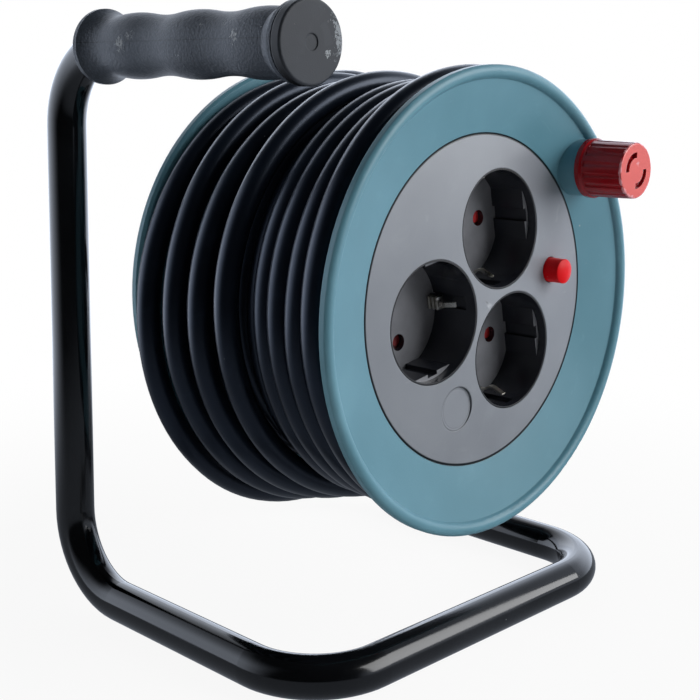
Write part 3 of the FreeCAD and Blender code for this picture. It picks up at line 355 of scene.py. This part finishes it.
earthBellows = []
for y, z, turn in bellows["sockets"]:
    strip = makeBellows(bellows, y, z, turn)
    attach(strip, "drum")
    earthBellows.append(strip)
print("earth contacts folded:", len(earthBellows))


# light and floor
studio = {
    "floorSize": 2.6,
    "paper": "#F2F2F2",
    "paperGlow": 0.92,              # share of plain white in the paper, so that it keeps only a soft shadow
    "paperFade": (0.12, 0.40),      # the paper runs into plain white over these distances from the middle
    "darkSide": 0.06,               # the dim room on the camera's side, as matt surfaces see it
    "paleSide": 0.95,               # the pale sweep behind, as matt surfaces see it
    "mirrorDark": 0.03,             # the room as gloss sees it
    "mirrorPale": 2.7,              # the sweep as gloss sees it
    "mirrorTint": "#E4EEFF",        # daylight tubes behind the sweep
    "mirrorKey": 0.9,               # the lit paper in front of the key lamp, as gloss sees it
    "mirrorNear": 0.35,             # the paper round the foot, as gloss sees it
    "mirrorFade": (0.16, 0.60),     # from the foot to the sweep, distances from the middle
    # directions, and the cosines to them between which the sweep and the lit paper fall off
    "sweepMiddle": (-0.90, 0.44, 0.0),
    "sweepEdge": (-0.50, 0.55),
    "keyMiddle": (0.76, 0.65, 0.0),
    "keyEdge": (0.72, 0.94),
    "overhead": (0.85, 0.35),       # rise of a direction where it is dark overhead, and where the sweep is full
    "aim": (0, 0, 0.11),
}
lamps = {
    "keySoftbox": {"place": (1.12, 0.78, 0.68), "size": (1.1, 1.0), "power": 17.5},
    "backSoftbox": {"place": (-1.2, 0.7, 0.9), "size": (1.2, 0.9), "power": 1.2},
}


def addSoftbox(name, c, target):
    data = bpy.data.lights.new(name, "AREA")
    data.shape = "RECTANGLE"
    data.size, data.size_y = c["size"]
    data.energy = c["power"]
    lamp = bpy.data.objects.new(name, data)
    bpy.context.scene.collection.objects.link(lamp)
    aim = Vector(target) - Vector(c["place"])
    turned = aim.to_track_quat("-Z", "Y").to_matrix().to_4x4()
    lamp.matrix_world = Matrix.Translation(Vector(c["place"])) @ turned


def sweepBehind(tree, looking, s):
    # 1 towards the pale sweep, falling off to the camera's side
    start, end = s["sweepEdge"]
    middle = addNode(tree, "ShaderNodeVectorMath", {0: looking, 1: s["sweepMiddle"]}, operation="DOT_PRODUCT")
    return addNode(tree, "ShaderNodeMapRange",
                   {"Value": middle.outputs["Value"], "From Min": start, "From Max": end},
                   interpolation_type="SMOOTHSTEP")


def mirrorStrength(tree, sweep, looking, s):
    # what gloss sees: the sweep, and the bright paper towards the key lamp
    start, end = s["keyEdge"]
    pale = addNode(tree, "ShaderNodeMapRange",
                   {"Value": sweep, "To Min": s["mirrorDark"], "To Max": s["mirrorPale"]})
    keySide = addNode(tree, "ShaderNodeVectorMath", {0: looking, 1: s["keyMiddle"]}, operation="DOT_PRODUCT")
    keySide = addNode(tree, "ShaderNodeMapRange",
                      {"Value": keySide.outputs["Value"], "From Min": start, "From Max": end,
                       "To Max": s["mirrorKey"]}, interpolation_type="SMOOTHSTEP")
    return addNode(tree, "ShaderNodeMath", {0: pale, 1: keySide}, operation="MAXIMUM")


def makeWorld(s):
    world = bpy.data.worlds.new("studioWorld")
    bpy.context.scene.world = world
    world.use_nodes = True
    tree = world.node_tree
    tree.nodes.clear()
    path = addNode(tree, "ShaderNodeLightPath")
    seen = addNode(tree, "ShaderNodeMath",
                   {0: path.outputs["Is Camera Ray"], 1: path.outputs["Is Transmission Ray"]},
                   operation="MAXIMUM")
    # the pale sweep stands upright behind the object, so what is overhead stays dark
    dark, full = s["overhead"]
    looking = addNode(tree, "ShaderNodeTexCoord").outputs["Generated"]
    height = addNode(tree, "ShaderNodeSeparateXYZ", {"Vector": looking}).outputs["Z"]
    upright = addNode(tree, "ShaderNodeMapRange", {"Value": height, "From Min": dark, "From Max": full},
                      interpolation_type="SMOOTHSTEP")
    sweep = addNode(tree, "ShaderNodeMath", {0: sweepBehind(tree, looking, s), 1: upright},
                    operation="MULTIPLY")
    matt = addNode(tree, "ShaderNodeMapRange",
                   {"Value": sweep, "To Min": s["darkSide"], "To Max": s["paleSide"]})
    matt = addNode(tree, "ShaderNodeBackground", {"Color": "#FFFFFF", "Strength": matt})
    gloss = addNode(tree, "ShaderNodeBackground",
                    {"Color": s["mirrorTint"], "Strength": mirrorStrength(tree, sweep, looking, s)})
    white = addNode(tree, "ShaderNodeBackground", {"Color": "#FFFFFF", "Strength": 1.0})
    lit = addNode(tree, "ShaderNodeMixShader", {"Fac": path.outputs["Is Glossy Ray"], 1: matt, 2: gloss})
    lit = addNode(tree, "ShaderNodeMixShader", {"Fac": seen, 1: lit, 2: white})
    addNode(tree, "ShaderNodeOutputWorld", {"Surface": lit})


def makeFloor(s):
    bpy.ops.object.select_all(action="DESELECT")
    bpy.ops.mesh.primitive_plane_add(size=s["floorSize"], location=(0, 0, 0))
    floor = bpy.context.object
    floor.name = "studioFloor"
    material = bpy.data.materials.new("pale seamless paper")
    material.use_nodes = True
    tree = material.node_tree
    tree.nodes.clear()
    path = addNode(tree, "ShaderNodeLightPath")
    where = addNode(tree, "ShaderNodeTexCoord").outputs["Object"]
    reach = addNode(tree, "ShaderNodeVectorMath", {0: where}, operation="LENGTH").outputs["Value"]
    # to the camera the paper runs into plain white away from the object
    start, end = s["paperFade"]
    far = addNode(tree, "ShaderNodeMapRange",
                  {"Value": reach, "From Min": start, "From Max": end, "To Min": s["paperGlow"]},
                  interpolation_type="SMOOTHSTEP")
    shown = addNode(tree, "ShaderNodeMath", {0: far, 1: path.outputs["Is Camera Ray"]}, operation="MULTIPLY")
    paper = addNode(tree, "ShaderNodeBsdfDiffuse", {"Color": s["paper"]})
    glow = addNode(tree, "ShaderNodeEmission", {"Color": "#FFFFFF", "Strength": 1.0})
    both = addNode(tree, "ShaderNodeMixShader", {"Fac": shown, 1: paper, 2: glow})
    # to gloss it is as bright as the sweep that it runs into
    start, end = s["mirrorFade"]
    looking = addNode(tree, "ShaderNodeVectorMath", {0: where}, operation="NORMALIZE")
    runOut = mirrorStrength(tree, sweepBehind(tree, looking, s), looking, s)
    mirrored = addNode(tree, "ShaderNodeMapRange",
                       {"Value": reach, "From Min": start, "From Max": end, "To Min": s["mirrorNear"],
                        "To Max": runOut}, interpolation_type="SMOOTHSTEP")
    mirrored = addNode(tree, "ShaderNodeEmission", {"Color": s["mirrorTint"], "Strength": mirrored})
    both = addNode(tree, "ShaderNodeMixShader",
                   {"Fac": path.outputs["Is Glossy Ray"], 1: both, 2: mirrored})
    addNode(tree, "ShaderNodeOutputMaterial", {"Surface": both})
    floor.data.materials.append(material)


makeWorld(studio)
makeFloor(studio)
for name, lampValues in lamps.items():
    addSoftbox(name, lampValues, studio["aim"])
print("studio lit:", len(lamps), "softboxes")


# materials
# a surface is a dictionary of one material's tree, its shader and the nodes that later steps build on
def newSurface(name):
    material = bpy.data.materials.new(name)
    material.use_nodes = True
    tree = material.node_tree
    tree.nodes.clear()
    shader = addNode(tree, "ShaderNodeBsdfPrincipled")
    addNode(tree, "ShaderNodeOutputMaterial", {"Surface": shader})
    place = addNode(tree, "ShaderNodeTexCoord").outputs["Object"]
    return {"material": material, "tree": tree, "shader": shader, "place": place,
            "base": None, "normal": None}      # the colour and the bump laid so far


def nearPoint(surface, point, radiusMm, share=1.0):
    # share at the point, 0 from radiusMm outwards
    tree = surface["tree"]
    away = addNode(tree, "ShaderNodeVectorMath", {0: surface["place"], 1: point}, operation="DISTANCE")
    return addNode(tree, "ShaderNodeMapRange",
                   {"Value": away.outputs["Value"], "From Min": 0.0, "From Max": radiusMm / 1000,
                    "To Min": share, "To Max": 0.0}, interpolation_type="SMOOTHSTEP")


def thinLine(surface, value, at, halfWidthMm, share=1.0):
    # share where the value is at the line, 0 from halfWidthMm outwards
    tree = surface["tree"]
    off = addNode(tree, "ShaderNodeMath", {0: value, 1: at}, operation="SUBTRACT")
    off = addNode(tree, "ShaderNodeMath", {0: off}, operation="ABSOLUTE")
    return addNode(tree, "ShaderNodeMapRange",
                   {"Value": off, "From Min": 0.0, "From Max": halfWidthMm / 1000, "To Min": share,
                    "To Max": 0.0})


def axleDistance(surface, line):
    # distance from a line along X; line is its y and z
    tree = surface["tree"]
    flat = addNode(tree, "ShaderNodeMapping", {"Vector": surface["place"], "Scale": (0.0, 1.0, 1.0)})
    away = addNode(tree, "ShaderNodeVectorMath", {0: flat, 1: (0.0, *line)}, operation="DISTANCE")
    return away.outputs["Value"]


def wornPatches(surface, sizeMm, start, end, share, within=None, stretch=(1.0, 1.0, 1.0), detail=6.0):
    # torn patches about sizeMm across where cloudy noise, in the mask that they lie within, passes start to end
    tree = surface["tree"]
    drawn = addNode(tree, "ShaderNodeMapping", {"Vector": surface["place"], "Scale": stretch})
    cloud = addNode(tree, "ShaderNodeTexNoise", {"Vector": drawn, "Scale": 1000 / sizeMm, "Detail": detail,
                                                 "Roughness": 0.65, "Distortion": 0.6})
    if not within:
        return addNode(tree, "ShaderNodeMapRange",
                       {"Value": cloud, "From Min": start, "From Max": end, "To Min": 0.0, "To Max": share})
    # the mask lifts the noise, spread about 0, so that a patch frays into specks at its edge
    spread, maskFrom, maskTo = 3.4, 0.02, 0.10
    lifted = addNode(tree, "ShaderNodeMath", {0: cloud, 1: spread, 2: -spread / 2}, operation="MULTIPLY_ADD")
    lifted = addNode(tree, "ShaderNodeMath", {0: lifted, 1: within}, operation="ADD")
    inside = addNode(tree, "ShaderNodeMapRange",
                     {"Value": within, "From Min": maskFrom, "From Max": maskTo, "To Min": 0.0,
                      "To Max": share})
    torn = addNode(tree, "ShaderNodeMapRange", {"Value": lifted, "From Min": start, "From Max": end})
    return addNode(tree, "ShaderNodeMath", {0: torn, 1: inside}, operation="MULTIPLY")


def strongest(surface, masks):
    # the highest of several masks
    highest = masks[0]
    for mask in masks[1:]:
        highest = addNode(surface["tree"], "ShaderNodeMath", {0: highest, 1: mask}, operation="MAXIMUM")
    return highest


def layBump(surface, layers, edgeMm=0.0):
    # layers are (height, strength, depth in mm), laid over the bumps so far
    # edgeMm starts them afresh on sharp edges that are rounded to the eye
    tree = surface["tree"]
    normal = surface["normal"]
    if edgeMm:
        normal = addNode(tree, "ShaderNodeBevel", {"Radius": edgeMm / 1000}, samples=4)
    for height, strength, depthMm in layers:
        sockets = {"Height": height, "Strength": strength, "Distance": depthMm / 1000}
        if normal:
            sockets["Normal"] = normal
        normal = addNode(tree, "ShaderNodeBump", sockets)
    tree.links.new(normal.outputs[0], surface["shader"].inputs["Normal"])
    surface["normal"] = normal


def paint(surface, *coats):
    # coats are (mask, colour), laid over the colour so far
    tree = surface["tree"]
    colour = surface["base"]
    for mask, over in coats:
        colour = addNode(tree, "ShaderNodeMixRGB", {"Fac": mask, "Color1": colour, "Color2": over})
    tree.links.new(colour.outputs[0], surface["shader"].inputs["Base Color"])
    surface["base"] = colour


# injection moulding, where a finish gives no other value
moulding = {
    "roughness": 0.36,
    "roughnessDrift": (-0.04, 0.06),    # below and above, with the tone
    "specular": 0.5,
    "cloudMm": 45,                      # the tone drifts over this
    "grainMm": 0.45,
    "grain": 0.25,
    "grainDepthMm": 0.10,
    "edgeMm": 0.35,
    "rubbing": 0.25,
    "rubbingMm": 11,
    "scratches": 0.25,
    "scratchMm": 1.1,                   # 0.15 mm wide in life, drawn wider so that they show
    "scratchStretch": (1.0, 0.09, 0.13),
    "scratchDepthMm": 0.05,
    "dust": 0.35,
    "dustMm": 11.0,                     # from speck to speck
    "dustSpeck": (0.012, 0.022),        # a speck's radius, and its soft edge's, as shares of that
    "dustColour": "#C9C8C4",
}


def mouldedPlastic(name, dark, colour, pale, **changes):
    # injection moulded: cloudy tone, fine spark-eroded grain, rubbed patches, hair scratches, dust
    m = {**moulding, **changes}
    surface = newSurface(name)
    tree, shader, place = surface["tree"], surface["shader"], surface["place"]
    cloud = addNode(tree, "ShaderNodeTexNoise", {"Vector": place, "Scale": 1000 / m["cloudMm"], "Detail": 3.0})
    surface["base"] = addNode(tree, "ShaderNodeValToRGB", {"Fac": cloud},
                              stops=[(0.3, dark), (0.52, colour), (0.76, pale)])
    rubbed = wornPatches(surface, m["rubbingMm"], start=0.58, end=0.74, share=m["rubbing"])
    scratched = wornPatches(surface, m["scratchMm"], start=0.69, end=0.73, share=m["scratches"],
                            stretch=m["scratchStretch"], detail=2.0)
    grit = addNode(tree, "ShaderNodeTexVoronoi", {"Vector": place, "Scale": 1000 / m["dustMm"]})
    speck, softEdge = m["dustSpeck"]
    dust = addNode(tree, "ShaderNodeMapRange",
                   {"Value": grit.outputs["Distance"], "From Min": speck, "From Max": softEdge,
                    "To Min": m["dust"], "To Max": 0.0})
    paint(surface, (rubbed, pale), (scratched, pale), (dust, m["dustColour"]))
    below, above = m["roughnessDrift"]
    rough = addNode(tree, "ShaderNodeMapRange",
                    {"Value": cloud, "From Min": 0.3, "From Max": 0.7, "To Min": m["roughness"] + below,
                     "To Max": m["roughness"] + above})
    tree.links.new(rough.outputs[0], shader.inputs["Roughness"])
    shader.inputs["Specular IOR Level"].default_value = m["specular"]
    surface["grain"] = addNode(tree, "ShaderNodeTexNoise",
                               {"Vector": place, "Scale": 1000 / m["grainMm"], "Detail": 2.0})
    layBump(surface, [(surface["grain"], m["grain"], m["grainDepthMm"]),
                      (scratched, 0.15, -m["scratchDepthMm"])], m["edgeMm"])
    return surface


plating = {
    "patchMm": 6,                       # dull patches
    "roughnessDrift": 0.14,
    "stretch": (0.08, 1.0, 1.0),        # the lines run along X, as metal is drawn or turned
    "depthMm": 0.04,
    "edgeMm": 0.15,
}


def platedMetal(name, dark, colour, roughness, lineMm, strength):
    # drawn or turned metal under thin plating: fine lines, dull patches
    surface = newSurface(name)
    tree, shader, place = surface["tree"], surface["shader"], surface["place"]
    patch = addNode(tree, "ShaderNodeTexNoise",
                    {"Vector": place, "Scale": 1000 / plating["patchMm"], "Detail": 5.0})
    surface["base"] = addNode(tree, "ShaderNodeValToRGB", {"Fac": patch}, stops=[(0.32, dark), (0.62, colour)])
    paint(surface)
    shader.inputs["Metallic"].default_value = 1.0
    rough = addNode(tree, "ShaderNodeMapRange",
                    {"Value": patch, "From Min": 0.3, "From Max": 0.7, "To Min": roughness,
                     "To Max": roughness + plating["roughnessDrift"]})
    tree.links.new(rough.outputs[0], shader.inputs["Roughness"])
    drawn = addNode(tree, "ShaderNodeMapping", {"Vector": place, "Scale": plating["stretch"]})
    lines = addNode(tree, "ShaderNodeTexNoise", {"Vector": drawn, "Scale": 1000 / lineMm, "Detail": 3.0})
    layBump(surface, [(lines, strength, plating["depthMm"])], plating["edgeMm"])
    return surface["material"]


def enamelledTube():
    # stove enamelled steel tube: deep gloss black that ripples slightly, dulled by handling in places
    return mouldedPlastic("stove enamelled steel tube", "#050607", "#07080A", "#15171A", roughness=0.10,
                          grainMm=6.0, grain=0.05, rubbing=0.2, scratches=0.5, dust=0.5, edgeMm=0.0)["material"]


grip = {
    "pebbleMm": 0.8,                    # leather cells
    "seamHeight": 0.2052,
    "chalkMm": 1.1,
    "chalkStretch": (1.3, 0.6, 0.9),
    # scuffs: place, radius in mm, strength
    "scuffs": [
        ((-0.0155, -0.0916, 0.2046), 4.8, 1.0), ((-0.0109, -0.0909, 0.2082), 4.0, 1.0),
        ((-0.0135, -0.0909, 0.1985), 2.6, 0.9), ((0.0224, -0.0890, 0.2116), 3.8, 0.8),
        ((0.0341, -0.0893, 0.2113), 3.8, 0.8), ((0.0413, -0.0914, 0.2061), 4.2, 0.95),
        ((0.0142, -0.0909, 0.1998), 3.0, 0.9), ((0.0316, -0.0907, 0.1994), 3.2, 0.8),
        ((0.0535, -0.0904, 0.2093), 3.2, 0.7), ((0.0045, -0.0909, 0.2010), 2.4, 0.75),
    ],
}


def grainedGrip(c):
    # soft moulded rubber: leathery grain, a mould seam at mid height, chalky scuffs where it was knocked
    surface = mouldedPlastic("grained grip rubber", "#3B424C", "#454D58", "#59626E", roughness=0.50,
                             specular=0.35, grainMm=0.8, grain=0.5, rubbing=0.35, scratches=0.1, dust=0.7,
                             dustMm=6.0, edgeMm=0.0)
    tree, place = surface["tree"], surface["place"]
    pebble = addNode(tree, "ShaderNodeTexVoronoi",
                     {"Vector": place, "Scale": 1000 / c["pebbleMm"], "Smoothness": 0.5},
                     feature="SMOOTH_F1").outputs["Distance"]
    height = addNode(tree, "ShaderNodeSeparateXYZ", {"Vector": place}).outputs["Z"]
    seam = thinLine(surface, height, c["seamHeight"], halfWidthMm=0.20, share=0.75)
    knocked = strongest(surface, [nearPoint(surface, *scuff) for scuff in c["scuffs"]])
    chalk = wornPatches(surface, c["chalkMm"], start=0.50, end=0.62, share=0.85, within=knocked,
                        stretch=c["chalkStretch"])
    # painted shade: the creases between the leather cells are darkened
    creaseShade = addNode(tree, "ShaderNodeMapRange",
                    {"Value": pebble, "From Min": 0.25, "From Max": 0.62, "To Min": 0.0, "To Max": 0.38})
    paint(surface, (creaseShade, "#2B2F35"), (seam, "#22252A"), (chalk, "#B4BAC0"))
    surface["normal"] = None            # the leather takes the place of the moulded grain's bump
    layBump(surface, [(pebble, 0.55, -0.22), (surface["grain"], 0.3, 0.12), (seam, 0.6, -0.15)])
    return surface["material"]


cap = {
    "line": (-0.079, 0.204),            # y and z of the grip's middle
    "rim": (0.0078, 0.0112),            # the smear grows between these radii
    "smearMiddle": (0.0634, -0.0690, 0.2055),
    "smearReachMm": 12.0,
    "chipMiddle": (0.0634, -0.0725, 0.2008),
    "chipReachMm": 2.6,
    "edge": (0.0622, 0.0627),           # along X, the cap's side is painted in shade up to here
}


def gripCap(c):
    # harder plug in the grip's end: smooth, with a torn chalky smear along its outer edge, and its side painted
    # near-black as shade
    surface = mouldedPlastic("grip cap polypropylene", "#282B31", "#2D3137", "#3C4047", roughness=0.46,
                             specular=0.25, grain=0.3, rubbing=0.4, scratches=0.35, dust=0.7, dustMm=5.0,
                             edgeMm=0.6)
    tree = surface["tree"]
    inner, outer = c["rim"]
    rim = addNode(tree, "ShaderNodeMapRange",
                  {"Value": axleDistance(surface, c["line"]), "From Min": inner, "From Max": outer},
                  interpolation_type="SMOOTHSTEP")
    side = nearPoint(surface, c["smearMiddle"], c["smearReachMm"])
    edge = addNode(tree, "ShaderNodeMath", {0: rim, 1: side}, operation="MULTIPLY")
    smear = wornPatches(surface, sizeMm=0.9, start=0.62, end=0.80, share=0.7, within=edge)
    chip = nearPoint(surface, c["chipMiddle"], c["chipReachMm"])
    chip = wornPatches(surface, sizeMm=1.4, start=0.62, end=0.72, share=0.75, within=chip)
    # painted shade: the cap's side is painted near-black
    start, end = c["edge"]
    along = addNode(tree, "ShaderNodeSeparateXYZ", {"Vector": surface["place"]}).outputs["X"]
    sideShade = addNode(tree, "ShaderNodeMapRange",
                       {"Value": along, "From Min": start, "From Max": end, "To Min": 0.9, "To Max": 0.0})
    paint(surface, (smear, "#A0A7AE"), (chip, "#A9B0B6"), (sideShade, "#08090B"))
    return surface["material"]


# levels along X
insert = {
    "floorTop": 0.04695,                # the recess floors are below this
    "lip": (0.0620, 0.0622),            # the thin edge inside the panel's hole
    "guideFront": 0.06068,
    "facing": 0.6,                      # a face looks forward when its normal's X is over this
    "floorCloudMm": 8,
    "roughness": (0.22, 0.5),           # of the walls, and of the floors and the lip
}


def socketInsert(c):
    # black polyamide insert: glossy walls, and floors with a fine matt grain, painted grey where they face
    # forward as a painted sheen
    surface = mouldedPlastic("black socket insert polyamide", "#24262D", "#2A2C33", "#353841", roughness=0.22,
                             grain=0.1, rubbing=0.25, scratches=0.4, dust=0.5, edgeMm=0.3)
    tree, place = surface["tree"], surface["place"]
    along = addNode(tree, "ShaderNodeSeparateXYZ", {"Vector": place}).outputs["X"]
    low = addNode(tree, "ShaderNodeMath", {0: along, 1: c["floorTop"]}, operation="LESS_THAN")
    normal = addNode(tree, "ShaderNodeNewGeometry").outputs["Normal"]
    facing = addNode(tree, "ShaderNodeSeparateXYZ", {"Vector": normal}).outputs["X"]
    forward = addNode(tree, "ShaderNodeMath", {0: facing, 1: c["facing"]}, operation="GREATER_THAN")
    floor = addNode(tree, "ShaderNodeMath", {0: forward, 1: low}, operation="MULTIPLY")
    # painted shade: the thin edge inside the panel's hole is painted near-black
    start, end = c["lip"]
    lip = addNode(tree, "ShaderNodeMapRange",
                  {"Value": along, "From Min": start, "From Max": end, "To Max": 0.9})
    lip = addNode(tree, "ShaderNodeMath", {0: lip, 1: forward}, operation="MULTIPLY")
    # painted sheen: the forward-facing floors are painted grey in place of the lamp's reflection
    grey = addNode(tree, "ShaderNodeTexNoise",
                   {"Vector": place, "Scale": 1000 / c["floorCloudMm"], "Detail": 4.0})
    grey = addNode(tree, "ShaderNodeValToRGB", {"Fac": grey}, stops=[(0.3, "#6E7076"), (0.7, "#7E8086")])
    # painted highlight: the fronts of the guide flats are painted pale where they would catch the lamp; a share
    # over 1 gives the line a hard edge
    front = thinLine(surface, along, c["guideFront"], halfWidthMm=0.5, share=4.0)
    front = addNode(tree, "ShaderNodeMath", {0: front, 1: forward}, operation="MULTIPLY", use_clamp=True)
    paint(surface, (floor, grey), (lip, "#020203"), (front, "#84868C"))
    smooth, matt = c["roughness"]
    rough = strongest(surface, [floor, lip])
    rough = addNode(tree, "ShaderNodeMapRange", {"Value": rough, "To Min": smooth, "To Max": matt})
    tree.links.new(rough.outputs[0], surface["shader"].inputs["Roughness"])
    return surface["material"]


knob = {
    "line": (0.05162, 0.16221),         # y and z of the knob's middle
    "end": (0.08940, 0.08955),          # along X, where its end face begins
    "rim": (0.0078, 0.0098),            # the knocked rim grows between these radii
    "rimBack": (0.0884, 0.0890),        # and this near to the end
    "spotMiddle": (0.0896, 0.0527, 0.1648),
    "spotReachMm": 2.4,
}


def redKnob(c):
    # red polycarbonate, dark in its depth, its end face painted pale, partly rubbed wear and partly a painted
    # highlight, and its end rim knocked almost white
    surface = mouldedPlastic("red knob polycarbonate", "#860812", "#9E0B16", "#BE2028", roughness=0.17,
                             grainMm=1.4, grain=0.06, rubbing=0.3, scratches=0.3, dust=0.2, edgeMm=0.4)
    tree = surface["tree"]
    along = addNode(tree, "ShaderNodeSeparateXYZ", {"Vector": surface["place"]}).outputs["X"]
    # the end face's pale colour is partly rubbed wear and partly a painted highlight
    start, end = c["end"]
    endWearAndSheen = addNode(tree, "ShaderNodeMapRange",
                   {"Value": along, "From Min": start, "From Max": end, "To Max": 0.88})
    start, end = c["rim"]
    rim = addNode(tree, "ShaderNodeMapRange",
                  {"Value": axleDistance(surface, c["line"]), "From Min": start, "From Max": end})
    start, end = c["rimBack"]
    near = addNode(tree, "ShaderNodeMapRange", {"Value": along, "From Min": start, "From Max": end})
    rim = addNode(tree, "ShaderNodeMath", {0: rim, 1: near}, operation="MULTIPLY")
    knocks = wornPatches(surface, sizeMm=2.4, start=0.75, end=1.05, share=0.8, within=rim, detail=4.0)
    spot = nearPoint(surface, c["spotMiddle"], c["spotReachMm"])
    spot = wornPatches(surface, sizeMm=1.4, start=0.62, end=0.85, share=0.6, within=spot)
    paint(surface, (endWearAndSheen, "#EE6A62"), (knocks, "#F6ABB2"), (spot, "#F4B0B8"))
    return surface["material"]


drumLine = (0.0, 0.1195)                # y and z of the axle

panel = {
    "joint": (0.05555, 0.0558),         # painted shade between these radii, where the panel meets the flange
    "discLine": (-0.01283, 0.08426),    # y and z of the plain round recess
    "discRadius": 0.0075,
    "innerRadius": 0.0066,
}


def panelPlastic(c):
    # grey ABS panel: satin, with painted shade in the joint to the flange, and darker grooved lines round the
    # plain recess
    surface = mouldedPlastic("grey panel ABS", "#858A92", "#8E939B", "#999EA6", roughness=0.34, rubbing=0.3,
                             scratches=0.3, dust=0.9, dustMm=17.0, edgeMm=0.4)
    # painted shade in the gap where the panel meets the flange
    start, end = c["joint"]
    joint = addNode(surface["tree"], "ShaderNodeMapRange",
                    {"Value": axleDistance(surface, drumLine), "From Min": start, "From Max": end})
    disc = axleDistance(surface, c["discLine"])
    ring = thinLine(surface, disc, c["discRadius"], halfWidthMm=0.30, share=0.65)
    inner = thinLine(surface, disc, c["innerRadius"], halfWidthMm=0.22, share=0.35)
    paint(surface, (joint, "#15191C"), (ring, "#43464B"), (inner, "#54575C"))
    layBump(surface, [(ring, 0.6, -0.3), (inner, 0.5, -0.3)])
    return surface["material"]


drum = {
    "jointRadius": 0.0564,
    "frontFrom": 0.0575,                # along X, so that only the front flange has the line
}


def drumPlastic(c):
    # teal ABS: satin, faintly clouded, with a painted shade line where the panel meets it
    surface = mouldedPlastic("teal drum ABS", "#5C8D9D", "#6394A5", "#70A1B2", roughness=0.36, specular=0.35,
                             rubbing=0.2, scratches=0.2, dust=0.5, dustMm=23.0, edgeMm=0.5)
    tree = surface["tree"]
    # painted shade in the gap where the panel meets the flange
    joint = thinLine(surface, axleDistance(surface, drumLine), c["jointRadius"], halfWidthMm=0.35, share=1.4)
    along = addNode(tree, "ShaderNodeSeparateXYZ", {"Vector": surface["place"]}).outputs["X"]
    front = addNode(tree, "ShaderNodeMath", {0: along, 1: c["frontFrom"]}, operation="GREATER_THAN")
    joint = addNode(tree, "ShaderNodeMath", {0: joint, 1: front}, operation="MULTIPLY", use_clamp=True)
    paint(surface, (joint, "#12282F"))
    return surface["material"]


# pin holes over the shutters: middle, radius in mm, strength of the red behind it, lower where the hole is
# painted in shade
pinHoles = [
    ((0.0446, 0.00054, 0.14185), 2.3, 1.0), ((0.0446, 0.01926, 0.14515), 2.3, 1.0),
    ((0.0446, 0.00814, 0.09895), 2.3, 0.55), ((0.0446, 0.02686, 0.10225), 2.3, 0.55),
    ((0.0446, -0.02185, 0.10614), 2.0, 0.2), ((0.0446, -0.02515, 0.12486), 2.0, 0.2),
]


def shutterPlastic(holes):
    # red polyamide blade: red only where the pin holes leave it open, painted black-brown as shade under the
    # floor
    # the dark base colours are painted shade over the red blade
    surface = mouldedPlastic("red shutter polyamide", "#2A090B", "#34090B", "#3E1113", roughness=0.4)
    spots = []
    for point, radiusMm, share in holes:
        spot = nearPoint(surface, point, radiusMm * 1.6)
        spots.append(addNode(surface["tree"], "ShaderNodeMapRange",
                             {"Value": spot, "From Min": 0.25, "From Max": 0.35, "To Max": share}))
    paint(surface, (strongest(surface, spots), "#E63A3C"))
    return surface["material"]


def rubberSheath():
    # extruded rubber sheath: satin blue-black, with a bluish sheen
    surface = mouldedPlastic("rubber cable sheath", "#0C111A", "#111823", "#1C2633", roughness=0.34,
                             grainMm=0.8, grain=0.15, rubbing=0.5, scratches=0.15, dust=0.5, edgeMm=0.0)
    surface["shader"].inputs["Specular Tint"].default_value = linearColour("#C2D0E8")
    return surface["material"]


finishes = {
    "stand_paint": enamelledTube(),
    "grip_rubber": grainedGrip(grip),
    "cap_plastic": gripCap(cap),
    "socket_plastic": socketInsert(insert),
    "red_plastic": redKnob(knob),
    "panel_plastic": panelPlastic(panel),
    "drum_plastic": drumPlastic(drum),
    "shutter_plastic": shutterPlastic(pinHoles),
    "cable_rubber": rubberSheath(),
    # acetal in its natural milky colour
    "bush_plastic": mouldedPlastic("natural acetal bush", "#CCC9BF", "#D9D7CE", "#E6E4DC",
                                   roughness=0.3)["material"],
    # matt black, coarser grained than the sheath
    "plug_rubber": mouldedPlastic("black moulded plug", "#0F1013", "#131417", "#26282C", roughness=0.45,
                                  grain=0.5)["material"],
    # grey, turned, a little dull
    "zinc_steel": platedMetal("zinc plated steel", "#9C9EA0", "#C9CACB", roughness=0.26, lineMm=0.5,
                              strength=0.3),
    # warm and bright, rolled
    "strap_steel": platedMetal("nickel plated earth strip", "#C9C4B8", "#EDE9DE", roughness=0.24, lineMm=0.4,
                               strength=0.25),
    # yellow, rolled, tarnished in patches
    "contact_brass": platedMetal("contact brass strip", "#9F7B3C", "#C9A25A", roughness=0.28, lineMm=0.4,
                                 strength=0.3),
    # warm, polished by the sockets
    "pin_nickel": platedMetal("nickel plated pin", "#B0ABA0", "#D5D1C7", roughness=0.14, lineMm=0.5,
                              strength=0.15),
}
# the button is of a brighter red than the knob, and shows little wear
buttonRed = mouldedPlastic("red button polyamide", "#E0000C", "#F0020F", "#F0242E", roughness=0.4,
                           specular=0.15, grain=0.2, rubbing=0.2, scratches=0.15, dust=0.4,
                           edgeMm=0.5)["material"]


def dressPieces():
    slots = {sub["node"]: sub["material_slot"] for sub in frame["record"]["subparts"]}
    for name, node in nodes.items():
        node.data.materials.clear()
        node.data.materials.append(buttonRed if name == "reset_button" else finishes[slots[name]])
    reelCable.data.materials.append(finishes["cable_rubber"])
    plugBoot.data.materials.append(finishes["plug_rubber"])
    for strip in earthBellows:
        strip.data.materials.append(finishes["strap_steel"])


dressPieces()
print("materials on:", len(finishes) + 1)

bpy.context.view_layer.update()

bpy.context.scene.view_settings.view_transform = "Standard"
